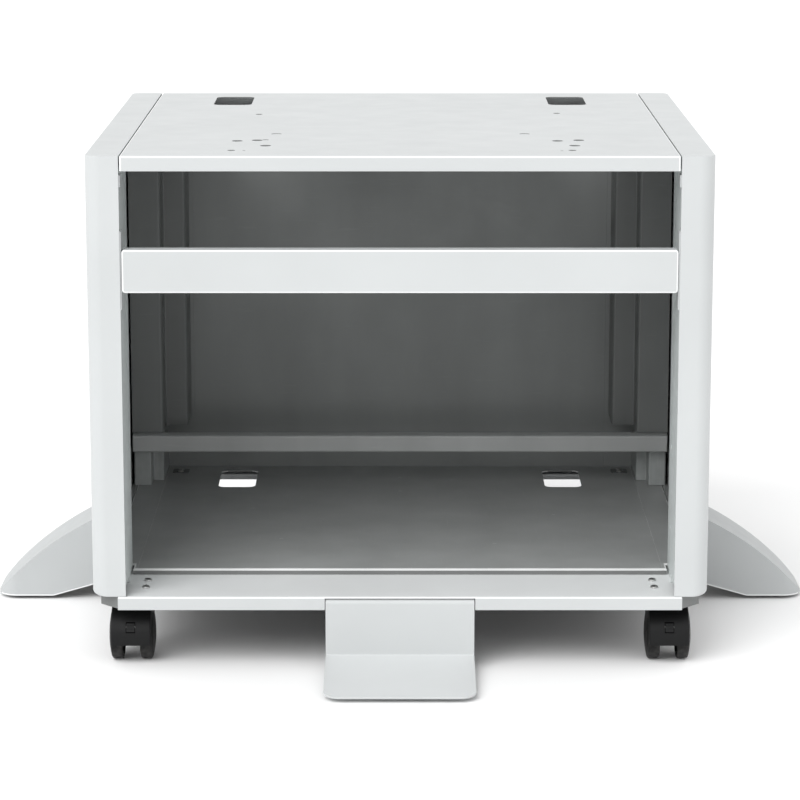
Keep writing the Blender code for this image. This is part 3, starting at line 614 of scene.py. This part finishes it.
def make_top_plate():
    bm = tray(plate_low, plate_high, 2, -1, 0.002, 3, BEND, 4)
    cuts = port_blocks(TOP)
    holes = bmesh.new()
    for x, depth, diameter in PLATE_HOLES:
        add_cylinder(holes, (x, FRONT + depth, TOP), diameter / 2, 0.01)
    for x, depth, diameter in PLATE_DIMPLES:
        add_cylinder(holes, (x, FRONT + depth, TOP + 0.005 - DIMPLE_DEPTH), diameter / 2, 0.01)
    cuts.append(helper(holes))
    panel = piece("top_panel", built("top_panel", bm, SHEET, cuts=cuts), "white_paint", "stand",
                  ["top_plate"])
    # Painted highlight: the plate's bend faces get a lighter white than the flat sheet.
    repaint(panel.data, "bend_painted_highlight", on_bend)
    # Painted shade: the walls of the plate's holes and cut-outs get dark grey in place of white.
    repaint(panel.data, "painted_shade_and_bracket_grey", in_plate_opening)


def in_plate_opening(centre, normal):
    """True for the walls of the holes and cut-outs of the top plate."""
    inside = plate_low.y + PLATE_BORDER < centre.y < plate_high.y - PLATE_BORDER
    return inside and abs(centre.x) < plate_high.x - PLATE_BORDER and abs(normal.z) < 0.98


def cover_section(inset):
    centre_x = HALF - COVER_FRONT_RADIUS
    section = [(cover_low.x, FRONT)]
    for across, back in arc((0, 0), 1.0, -90, 0, 14):
        x = centre_x + across * (COVER_FRONT_RADIUS - inset)
        section.append((x, FRONT + COVER_FRONT_RADIUS * (1 + back)))
    centre = (HALF - inset - COVER_BACK_RADIUS, BACK - COVER_BACK_RADIUS)
    section += arc(centre, COVER_BACK_RADIUS, 0, 90, 8)
    section.append((cover_low.x, BACK))
    return section


def cover_levels():
    levels = []
    for index in range(9):
        angle = math.radians(90 * index / 8)
        rise = COVER_LIP_RADIUS * (1 - math.cos(angle))
        levels.append((cover_low.z + rise, COVER_LIP_RADIUS * (1 - math.sin(angle))))
    for index in range(5):
        angle = math.radians(90 * index / 4)
        drop = COVER_TOP_RADIUS * (1 - math.sin(angle))
        levels.append((TOP - drop, COVER_TOP_RADIUS * (1 - math.cos(angle))))
    return levels


def make_side_cover(hand, side):
    bm = bmesh.new()
    rings = []
    for height, inset in cover_levels():
        rings.append([bm.verts.new((x, y, height)) for x, y in cover_section(inset)])
    for lower, upper in zip(rings, rings[1:]):
        join_rows(bm, lower, upper, closed=False)
    bm.faces.new(rings[-1])
    mesh = built(f"side_cover_skin_{hand}", mirrored(bm, side), SHEET)
    piece(f"side_cover_skin_{hand}", mesh, "white_paint", "stand", [f"side_cover_{hand}"])


def make_front_rail():
    bm = tray(rail_low, rail_high, 1, 1, 0.003, 5, BEND, 4)
    rail = piece("rail_channel", built("rail_channel", bm, SHEET), "white_paint", "stand",
                 ["front_rail"])
    # Painted highlight: the rail's bend faces get a lighter white than the flat sheet.
    repaint(rail.data, "bend_painted_highlight", on_bend)


def folded_slab(half, low, high, bend, steps):
    """A shallow tray, open below, over a plan outline given by its right half, front to back."""
    outline = half + [(-x, y) for x, y in reversed(half)]
    bm = bmesh.new()
    rims = [[bm.verts.new((x, y, z)) for x, y in outline] for z in (low, high)]
    top = bm.faces.new(rims[1])
    join_rows(bm, rims[0], rims[1], closed=True)
    bmesh.ops.recalc_face_normals(bm, faces=bm.faces)
    bm.normal_update()
    if top.normal.z < 0:
        bmesh.ops.reverse_faces(bm, faces=bm.faces)
    bevel(bm, list(top.edges), bend, steps)
    return bm


def on_front_corner(centre, normal):
    """True for the set-back slanted faces at the base's front corners."""
    slanted = abs(normal.z) < 0.5 and abs(normal.x) > 0.3
    return slanted and centre.y < FRONT + PAN_CORNER_STEP + PAN_CHAMFER


def make_base_pan():
    corner = pan_high.x - PAN_CHAMFER
    bm = folded_slab([
        (corner, FRONT),
        (corner, FRONT + PAN_CORNER_STEP),
        (pan_high.x, FRONT + PAN_CORNER_STEP + PAN_CHAMFER),
        (pan_high.x, BACK - PAN_CHAMFER),
        (corner, BACK),
    ], pan_low.z, pan_high.z, BEND, 4)
    cuts = port_blocks(pan_high.z, PAN_PORT_MARGIN)
    gap = 0.0007
    notch = box((foot_low.x - gap, FRONT - 0.005, pan_low.z - 0.005),
                (foot_high.x + gap, FRONT + 0.003, pan_high.z - HEAVY_SHEET))
    cuts.append(helper(notch))
    tray_piece = piece("base_tray", built("base_tray", bm, HEAVY_SHEET, cuts=cuts),
                       "white_paint", "stand", ["base_pan"])
    under = pan_high.z - HEAVY_SHEET
    # Painted shade: the underside of the white base gets a near-black coat in place of its white
    # paint.
    repaint(tray_piece.data, "underside_painted_shade", lambda centre, normal: near(centre.z, under))
    # Painted highlight: the base's bend faces get a lighter white than the flat sheet.
    repaint(tray_piece.data, "bend_painted_highlight", on_bend)
    # Painted light: the top of the base gets a lighter white than the rest of the same sheet.
    repaint(tray_piece.data, "sill_painted_light", lambda centre, normal: near(centre.z, pan_high.z))
    # Painted shade: the base's set-back corner faces under the covers get dark grey in place of
    # white.
    repaint(tray_piece.data, "painted_shade_and_bracket_grey", on_front_corner)


def make_floor():
    behind_posts = post_high.y + 0.0008
    bm = folded_slab([
        (FLOOR_FRONT_HALF, floor_low.y),
        (FLOOR_FRONT_HALF, behind_posts),
        (floor_high.x, behind_posts),
        (floor_high.x, floor_high.y),
    ], floor_low.z, floor_high.z, 0.002, 4)
    marks = bmesh.new()
    for x, depth in FLOOR_DIMPLES:
        place = (x, FRONT + depth, floor_high.z + 0.005 - FLOOR_MARK_DEPTH)
        add_cylinder(marks, place, 0.0018, 0.01)
    cuts = port_blocks(floor_high.z) + [helper(marks)]
    for _, side in SIDES:
        middle = side * FLOOR_SEAM_X
        seam = box((middle - SEAM_HALF, floor_low.y + 0.004, floor_high.z - SEAM_DEPTH),
                   (middle + SEAM_HALF, floor_high.y - 0.004, floor_high.z + 0.002))
        cuts.append(helper(seam))
    sheet = piece("shelf_floor_sheet", built("shelf_floor_sheet", bm, SHEET, cuts=cuts),
                  "floor_paint", "stand", ["floor_panel"])
    # Painted shade: the floor's front riser gets a darker grey than the rest of the same sheet.
    repaint(sheet.data, "riser_painted_shade", lambda centre, normal: normal.y < -0.9)
    # Painted highlight: the floor's bend faces get a lighter grey than the flat sheet.
    repaint(sheet.data, "floor_bend_painted_highlight", on_bend)
    for hand, side in SIDES:
        bm = box((floor_high.x + PIECE_GAP, behind_posts, floor_low.z),
                 (HALF - SHEET - PIECE_GAP, floor_high.y, floor_high.z))
        bevel(bm, list(bm.edges), PIECE_GAP, 2)
        piece(f"floor_side_seal_{hand}", built("floor_side_seal", mirrored(bm, side)),
              "floor_paint", "stand")


def make_front_post(hand, side):
    """A folded column: a front strip lifted off the sill and a back strip set a little outside."""
    stepped = post_low.x + POST_STEP_BACK
    outline = [
        (post_low.x, post_low.y),
        (post_high.x, post_low.y),
        (post_high.x, post_high.y),
        (stepped, post_high.y),
        (stepped, FRONT + POST_STEP),
        (post_low.x, FRONT + POST_STEP),
        (post_low.x, post_low.y),
    ]
    bm = strip(outline, lambda p: (p[0], p[1], post_low.z), lambda p: (p[0], p[1], post_high.z))
    bmesh.ops.remove_doubles(bm, verts=bm.verts, dist=1e-6)
    foot = box((post_low.x - 0.004, post_low.y - 0.002, post_low.z - 0.002),
               (post_low.x + 0.004, FRONT + POST_STEP - 0.0005, post_low.z + POST_FOOT_LIFT))
    holes = bmesh.new()
    for height in POST_HOLES:
        place = (post_low.x, FRONT + POST_HOLE_DEPTH, height)
        add_cylinder(holes, place, 0.0025, 0.01, "X", 20)
    cuts = [helper(mirrored(foot, side)), helper(mirrored(holes, side))]
    mesh = built(f"front_column_{hand}", mirrored(bm, side), HEAVY_SHEET, cuts=cuts)
    piece(f"front_column_{hand}", mesh, "zinc_plate", "stand", [f"front_post_{hand}"])


def make_rear_post(hand, side):
    outline = [
        (rear_post_low.x, rear_post_high.y),
        (rear_post_low.x, REAR_SHOULDER_Y),
        (REAR_SHOULDER_X, REAR_SHOULDER_Y),
        (REAR_SHOULDER_X, rear_post_low.y),
        (rear_post_high.x, rear_post_low.y),
        (rear_post_high.x, rear_post_high.y),
        (rear_post_low.x + 0.004, rear_post_high.y),
    ]
    bm = strip(round_path(outline, 0.0018, 4), lambda p: (p[0], p[1], rear_post_low.z),
               lambda p: (p[0], p[1], rear_post_high.z))
    mesh = built(f"rear_column_{hand}", mirrored(bm, side), HEAVY_SHEET)
    # Painted shade: the rear columns get a darker copy of the front columns' zinc.
    piece(f"rear_column_{hand}", mesh, "zinc_plate", "stand", [f"rear_post_{hand}"],
          look="zinc_painted_shade")


def make_corner_panel(hand, side):
    middle = SHEET / 2
    path = round_path([
        (corner_high.x, corner_low.y + middle),
        (CORNER_MIDDLE, corner_low.y + middle),
        (CORNER_MIDDLE, CORNER_STEP_Y),
        (corner_low.x + middle, CORNER_STEP_Y),
        (corner_low.x + middle, corner_high.y),
    ], 0.0022, 6)
    bm = strip(path, lambda p: (p[0], p[1], corner_low.z), lambda p: (p[0], p[1], corner_high.z))
    mesh = built(f"corner_sheet_{hand}", mirrored(bm, side), SHEET, 0.0)
    # Painted shade: the corner sheets get a darker copy of their inner grey paint.
    piece(f"corner_sheet_{hand}", mesh, "grey_paint", "stand", [f"rear_corner_panel_{hand}"],
          look="corner_sheet_painted_shade")


def make_back():
    bm = tray(back_low, back_high, 1, -1, 0.004, 5, BEND, 4)
    piece("rear_cover_sheet", built("rear_cover_sheet", bm, SHEET), "white_paint", "stand",
          ["rear_cover"])
    bm = box(panel_low, panel_high)
    bevel(bm, [edge for edge in bm.edges if along(edge, 1)], 0.004, 4)
    cuts = []
    for side in (-1, 1):
        middle = side * PANEL_SEAM_X
        seam = box((middle - SEAM_HALF, panel_low.y - 0.002, panel_low.z - 0.002),
                   (middle + SEAM_HALF, panel_low.y + SEAM_DEPTH, panel_high.z + 0.002))
        cuts.append(helper(seam))
        holes = bmesh.new()
        for height in PANEL_HOLES:
            place = (side * PANEL_HOLE_X, (panel_low.y + panel_high.y) / 2, height)
            add_cylinder(holes, place, 0.0022, 0.01, "Y", 20)
        cuts.append(helper(holes))
    piece("rear_inner_sheet", built("rear_inner_sheet", bm, cuts=cuts), "grey_paint", "stand",
          ["rear_panel"])
    bm = tray(crossbar_low, crossbar_high, 1, 1, 0.0, 1, 0.002, 5)
    # Painted light: the crossbar gets a lighter copy of its inner grey paint.
    piece("crossbar_channel", built("crossbar_channel", bm, HEAVY_SHEET), "grey_paint", "stand",
          ["rear_crossbar"], look="crossbar_painted_light")


# Foot and stabilizers

def make_foot():
    middle = FOOT_SHEET / 2
    face_y = FRONT - 0.0006 + middle
    tip_y = foot_low.y + 0.0002
    flange_z = foot_high.z - middle
    path = round_path([
        (foot_high.y, flange_z),
        (face_y, flange_z),
        (face_y, FOOT_DROP),
    ], FOOT_TOP_BEND, 10)
    low_bend = [path[-2], (face_y, FOOT_DROP), (tip_y, FOOT_TIP_Z)]
    path = path[:-1] + round_path(low_bend, FOOT_LOW_BEND, 8)[1:]
    bm = strip(path, lambda p: (foot_low.x, p[0], p[1]), lambda p: (foot_high.x, p[0], p[1]))
    corners = [vert for vert in bm.verts if near(vert.co.y, tip_y)]
    bmesh.ops.bevel(bm, geom=corners, offset=FOOT_CORNER_RADIUS, segments=12, profile=0.5,
                    affect="VERTICES")
    mesh = built("anti_tip_foot", bm, FOOT_SHEET, 0.0, edge=0.0004)
    piece("anti_tip_foot", mesh, "white_paint", "stand", ["front_foot"])
    # Painted light: the sloping toe gets a lighter white than the rest of the same foot sheet.
    repaint(mesh, "toe_painted_light", lambda centre, normal: centre.z < FOOT_DROP and normal.z > 0.5)


def fin_top(x):
    """The height of the swelling back, a quadratic curve from the body to the tip."""
    if x >= FIN_TIP[0]:
        return FIN_TIP[1] - 1.5 * (x - FIN_TIP[0])
    square = FIN_ROOT[0] - 2 * FIN_SHOULDER[0] + FIN_TIP[0]
    linear = 2 * (FIN_SHOULDER[0] - FIN_ROOT[0])
    root = math.sqrt(linear * linear - 4 * square * (FIN_ROOT[0] - x))
    share = (root - linear) / (2 * square)
    first = FIN_ROOT[1] + (FIN_SHOULDER[1] - FIN_ROOT[1]) * share
    second = FIN_SHOULDER[1] + (FIN_TIP[1] - FIN_SHOULDER[1]) * share
    return first + (second - first) * share


def fin_pull(x):
    """How far the sides are drawn in by the tip's round corners, seen from above."""
    past = max(0.0, x - (fin_high.x - FIN_CORNER))
    return FIN_CORNER - math.sqrt(max(0.0, FIN_CORNER * FIN_CORNER - past * past))


def fin_bottom(x):
    return FIN_BOTTOM + max(0.0, FIN_KNEE - x) * FIN_RISE


def fin_section(x, inset, low, high):
    near_y = fin_low.y + inset + fin_pull(x + inset)
    far_y = fin_low.y + fin_high.y - near_y
    hem = low + FIN_HEM
    return [(x, near_y, low), (x, near_y, hem), (x, near_y, high), (x, far_y, high),
            (x, far_y, hem), (x, far_y, low)]


def fin_stations(end):
    turn = fin_high.x - FIN_CORNER
    stations = [FIN_ROOT[0] + (FIN_KNEE - FIN_ROOT[0]) * k / 12 for k in range(12)]
    stations += [FIN_KNEE + (turn - FIN_KNEE) * k / 8 for k in range(8)]
    return stations + [turn + (end - turn) * math.sin(math.pi / 2 * k / 14) for k in range(15)]


def loft(sections):
    """A closed body through rings of points."""
    bm = bmesh.new()
    rings = [[bm.verts.new(point) for point in section] for section in sections]
    for first, second in zip(rings, rings[1:]):
        join_rows(bm, first, second, closed=True)
    bm.faces.new(rings[0])
    bm.faces.new(rings[-1])
    bmesh.ops.recalc_face_normals(bm, faces=bm.faces)
    return bm


def make_fin(hand, side):
    outside = [fin_section(x, 0.0, fin_bottom(x), fin_top(x)) for x in fin_stations(fin_high.x)]
    inner_end = fin_high.x - 4 * FIN_WALL
    inside = [fin_section(x, FIN_WALL, -0.01, fin_top(x) - 1.3 * FIN_WALL)
              for x in fin_stations(inner_end)]
    reach = fin_low.x
    trim = box((-reach, fin_low.y - 0.01, -0.01), (reach, fin_high.y + 0.01, 0.12))
    cuts = [helper(mirrored(loft(inside), side)), helper(trim)]
    mesh = built(f"stabilizer_shell_{hand}", mirrored(loft(outside), side), cuts=cuts,
                 edge=FIN_EDGE, edge_steps=4)
    shell = piece(f"stabilizer_shell_{hand}", mesh, "white_plastic", "stand",
                  [f"stabilizer_cover_{hand}"])
    # Painted highlight: the bottom hem of the shell gets a lighter white than the rest of the
    # moulding.
    repaint(shell.data, "bend_painted_highlight", lambda centre, normal: abs(normal.y) > 0.5
            and centre.z < fin_bottom(abs(centre.x)) + FIN_HEM)


# Fasteners

def pan_head_screw(radius, height):
    """A domed head with a cross recess, about its own seat."""
    bm = bmesh.new()
    add_cylinder(bm, (0, 0, height * 0.25), radius, height * 0.5, segments=40)
    rings = [(radius * 0.98, height * 0.5), (radius * 0.86, height * 0.78),
             (radius * 0.6, height * 0.95), (radius * 0.3, height)]
    for (lower, low_z), (upper, high_z) in zip(rings, rings[1:]):
        add_cylinder(bm, (0, 0, (low_z + high_z) / 2), lower, high_z - low_z, segments=40,
                     top_radius=upper)
    bmesh.ops.remove_doubles(bm, verts=bm.verts, dist=1e-6)
    cross = []
    for turn in (0.0, math.pi / 2):
        bar = box((-radius * 0.55, -radius * 0.11, height * 0.45),
                  (radius * 0.55, radius * 0.11, height * 1.5))
        bmesh.ops.rotate(bar, cent=(0, 0, 0), matrix=Matrix.Rotation(turn, 3, "Z"),
                         verts=bar.verts)
        cross.append(helper(bar))
    return built("pan_head", bm, cuts=cross, edge=0.0)


def make_sill_screws():
    number = 0
    for side in (-1, 1):
        for depth in SCREW_DEPTHS:
            number += 1
            place = (side * SCREW_X, FRONT + depth, pan_high.z + 0.0001)
            mesh = pan_head_screw(*SILL_SCREW)
            piece(f"sill_screw_head_{number}", mesh, "steel", "stand",
                  [f"sill_screw_{number}"], place)


def make_small_fixings():
    """Dark brackets with two screws at the floor's back corners, and a screw on the rear panel."""
    top = floor_high.z + BRACKET_TOP
    for hand, side in SIDES:
        x, y = side * BRACKET_PLACE[0], BRACKET_PLACE[1]
        bm = box((x - BRACKET_HALF, y - BRACKET_HALF, floor_high.z + BRACKET_BOTTOM),
                 (x + BRACKET_HALF, y + BRACKET_HALF, top))
        bevel(bm, [edge for edge in bm.edges if along(edge, 2)], 0.003, 4)
        piece(f"floor_bracket_{hand}", built("floor_bracket", bm), "grey_paint", "stand",
              look="painted_shade_and_bracket_grey")
        for number, step in enumerate((-0.0055, 0.0055)):
            piece(f"floor_bracket_screw_{hand}_{number}", pan_head_screw(*BRACKET_SCREW),
                  "steel", "stand", (), (x, y + step, top))
    screw = piece("rear_panel_screw", pan_head_screw(*REAR_SCREW), "black_plastic", "stand",
                  (), (0.0, panel_low.y - 0.0001, REAR_SCREW_Z))
    screw.rotation_euler = (math.radians(90), 0.0, 0.0)
    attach(screw, "stand")


# Casters

def hood_outline():
    front_low = math.degrees(math.asin(0.0055 / HOOD_RADIUS))
    outline = arc((0, 0), HOOD_RADIUS, 180 + front_low, 90, 28)
    outline += arc((0.030, HOOD_RADIUS - 0.004), 0.004, 90, 0, 5)
    outline += [(0.034, 0.021), (0.029, 0.005)]
    outline += arc((0, 0), 0.0090, -35, -145, 8)
    return outline


def hood_mesh(braked, boss_top):
    axle = Vector((0.0, -TRAIL, WHEEL_RADIUS))
    bm = plate_along_x(hood_outline(), 2 * HOOD_HALF)
    bmesh.ops.translate(bm, vec=axle, verts=bm.verts)
    sides = [edge for edge in bm.edges if not along(edge, 0)
             and near(edge.verts[0].co.x, edge.verts[1].co.x)]
    bevel(bm, sides, 0.0012, 3)
    boss = bmesh.new()
    bottom = axle.z + BOSS_START
    add_cylinder(boss, (0, 0, (bottom + boss_top) / 2), BOSS_RADIUS, boss_top - bottom)
    cuts = []
    depth = 0.020
    for side in (-1, 1):
        pocket = bmesh.new()
        add_cylinder(pocket, axle + Vector((side * (WEB_HALF + depth / 2), 0, 0)),
                     POCKET_RADIUS, depth, "X", 64)
        cuts.append(helper(pocket))
    bores = bmesh.new()
    add_cylinder(bores, axle, AXLE_BORE, 0.030, "X")
    add_cylinder(bores, (0, 0, boss_top - 0.0065), KINGPIN_BORE, 0.020)
    cuts.append(helper(bores))
    if braked:
        slot = box(axle + Vector((-SLOT_HALF, -0.032, SLOT_LOW)),
                   axle + Vector((SLOT_HALF, -0.0185, SLOT_HIGH)))
        cuts.append(helper(slot))
    return built("hood", bm, cuts=cuts, unions=[helper(boss)], edge=0.0003)


def turned(profile, steps=72):
    """A solid of revolution about X; the profile is (radius, x), outer face first."""
    bm = bmesh.new()
    rings = []
    for radius, x in profile:
        if radius == 0.0:
            rings.append([bm.verts.new((x, 0.0, 0.0))])
            continue
        ring = []
        for step in range(steps):
            angle = 2 * math.pi * step / steps
            ring.append(bm.verts.new((x, radius * math.cos(angle), radius * math.sin(angle))))
        rings.append(ring)
    for first, second in zip(rings, rings[1:]):
        for step in range(steps):
            following = (step + 1) % steps
            corners = [first[step % len(first)], first[following % len(first)],
                       second[following % len(second)], second[step % len(second)]]
            unique = list(dict.fromkeys(corners))
            bm.faces.new(unique)
    bmesh.ops.recalc_face_normals(bm, faces=bm.faces)
    return bm


def wheel_profile():
    """A domed outer face with moulded rings, a rounded tread and a recessed inner face."""
    outer = WHEEL_OUTER
    profile = [(0.0, outer), (0.0040, outer - 0.0001), (0.0075, outer - 0.0002)]
    profile += [(0.0080, outer - 0.0008), (0.0092, outer - 0.0008), (0.0097, outer - 0.0004)]
    profile += [(0.0130, outer - 0.0007), (0.0165, outer - 0.0012), (0.0200, outer - 0.0018)]
    profile += [(0.0205, outer - 0.0024), (0.0211, outer - 0.0024), (0.0216, outer - 0.0022)]
    profile += [(0.0230, outer - 0.0025)]
    rim = arc((outer - 0.0042, WHEEL_RADIUS - 0.0014), 0.0014, 15, 90, 6)
    profile += [(radius, x) for x, radius in rim]
    inner = arc((WHEEL_INNER + 0.0014, WHEEL_RADIUS - 0.0014), 0.0014, 90, 180, 6)
    profile += [(radius, x) for x, radius in inner]
    profile += [(0.0210, WHEEL_INNER), (0.0205, WHEEL_INNER + 0.002)]
    profile += [(0.0085, WHEEL_INNER + 0.002), (0.0080, WHEEL_INNER)]
    profile += [(AXLE_BORE, WHEEL_INNER), (AXLE_BORE, BORE_END), (0.0, BORE_END)]
    return profile


def lever_mesh():
    """The brake rocker about its pivot; its face follows the hood and has three faint ribs."""
    low = SLOT_LOW + LEVER_CLEARANCE
    high = SLOT_HIGH - LEVER_CLEARANCE
    outline = []
    for index in range(25):
        height = low + (high - low) * index / 24
        rib = 0.00015 * max(0.0, math.sin(math.pi * 6 * index / 24))
        face = HOOD_RADIUS + 0.0002 + rib
        outline.append((-math.sqrt(face * face - height * height), height))
    outline += [(-0.0195, high - 0.0006), (-0.0195, low + 0.0006)]
    bm = plate_along_x(outline, 2 * LEVER_HALF)
    bmesh.ops.translate(bm, vec=-Vector((0, *LEVER_PIVOT)), verts=bm.verts)
    hole = bmesh.new()
    add_cylinder(hole, (0, 0, 0), 0.0016, 0.02, "X", 20)
    return built("rocker", bm, cuts=[helper(hole)], edge=0.00015)


def make_casters():
    _, hood_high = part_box("caster_front_left_hood")
    plain = hood_mesh(False, hood_high.z)
    braked = hood_mesh(True, hood_high.z)
    lever = lever_mesh()
    for end in ("front", "rear"):
        for hand, _ in SIDES:
            body = f"caster_{end}_{hand}"
            mount_low, mount_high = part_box(f"{body}_mount")
            centre = (mount_low + mount_high) / 2
            axle = Vector((centre.x, centre.y - TRAIL, WHEEL_RADIUS))
            hood = (braked if end == "front" else plain).copy()
            piece(f"{body}_housing", hood, "black_plastic", body, [f"{body}_hood"],
                  (centre.x, centre.y, 0.0))
            for wheel, turn in (("left", math.pi), ("right", 0.0)):
                bm = turned(wheel_profile())
                bmesh.ops.rotate(bm, cent=(0, 0, 0), matrix=Matrix.Rotation(turn, 3, "Z"),
                                 verts=bm.verts)
                mesh = built("wheel", bm, edge=0.0)
                piece(f"{body}_roller_{wheel}", mesh, "black_tread", f"{body}_wheel_{wheel}",
                      [f"{body}_wheel_{wheel}"], axle)
            if end == "front":
                place = axle + Vector((0, *LEVER_PIVOT))
                piece(f"{body}_pedal", lever.copy(), "black_plastic", f"{body}_brake_lever",
                      [f"{body}_brake_lever"], place)


def finish_cad_nodes():
    """The CAD nodes that stay get the finish of their own slot."""
    for subpart in frame["record"]["subparts"]:
        node = frame["nodes"][subpart["node"]]
        if node.hide_render:
            continue
        node.data.materials.clear()
        node.data.materials.append(FINISHES[subpart["material_slot"]])


# Studio

def make_studio():
    floor_mesh = bpy.data.meshes.new("studio_floor")
    bm = bmesh.new()
    bmesh.ops.create_grid(bm, x_segments=1, y_segments=1, size=30.0)
    bm.to_mesh(floor_mesh)
    bm.free()
    ground = bpy.data.objects.new("studio_floor", floor_mesh)
    bpy.context.scene.collection.objects.link(ground)
    paper = bpy.data.materials.new("white_paper")
    paper.use_nodes = True
    shader = paper.node_tree.nodes["Principled BSDF"]
    shader.inputs["Base Color"].default_value = (0.93, 0.93, 0.93, 1.0)
    shader.inputs["Roughness"].default_value = 0.9
    shader.inputs["Specular IOR Level"].default_value = 0.1
    floor_mesh.materials.append(paper)
    world = bpy.data.worlds.new("studio")
    bpy.context.scene.world = world
    world.use_nodes = True
    background = world.node_tree.nodes["Background"]
    background.inputs["Color"].default_value = (1.0, 1.0, 1.0, 1.0)
    background.inputs["Strength"].default_value = WORLD_LIGHT
    for name, azimuth, elevation, spread, strength in STUDIO_LIGHTS:
        soft_sun(name, azimuth, elevation, spread, strength)
    bpy.context.scene.view_settings.view_transform = "Standard"


def soft_sun(name, azimuth, elevation, spread, strength):
    """An even soft light; azimuth is to the left of the front, angles in degrees."""
    light = bpy.data.lights.new(name, "SUN")
    light.energy = strength
    light.angle = math.radians(spread)
    obj = bpy.data.objects.new(name, light)
    obj.rotation_euler = (math.radians(90 - elevation), 0.0, math.radians(-azimuth))
    bpy.context.scene.collection.objects.link(obj)


def make_camera():
    camera = bpy.data.cameras.new("camera")
    camera.lens = CAMERA_LENS
    camera.sensor_width = 36.0
    camera.clip_end = 100.0
    obj = bpy.data.objects.new("camera", camera)
    obj.location = (0.0, FRONT - CAMERA_DISTANCE, CAMERA_HEIGHT)
    obj.rotation_euler = (math.radians(90.0 - CAMERA_PITCH), 0.0, 0.0)
    bpy.context.scene.collection.objects.link(obj)
    bpy.context.scene.camera = obj


make_top_plate()
make_front_rail()
make_base_pan()
make_floor()
make_back()
make_foot()
make_sill_screws()
make_small_fixings()
for hand, side in SIDES:
    make_side_cover(hand, side)
    make_front_post(hand, side)
    make_rear_post(hand, side)
    make_corner_panel(hand, side)
    make_fin(hand, side)
make_casters()
finish_cad_nodes()
make_studio()
make_camera()
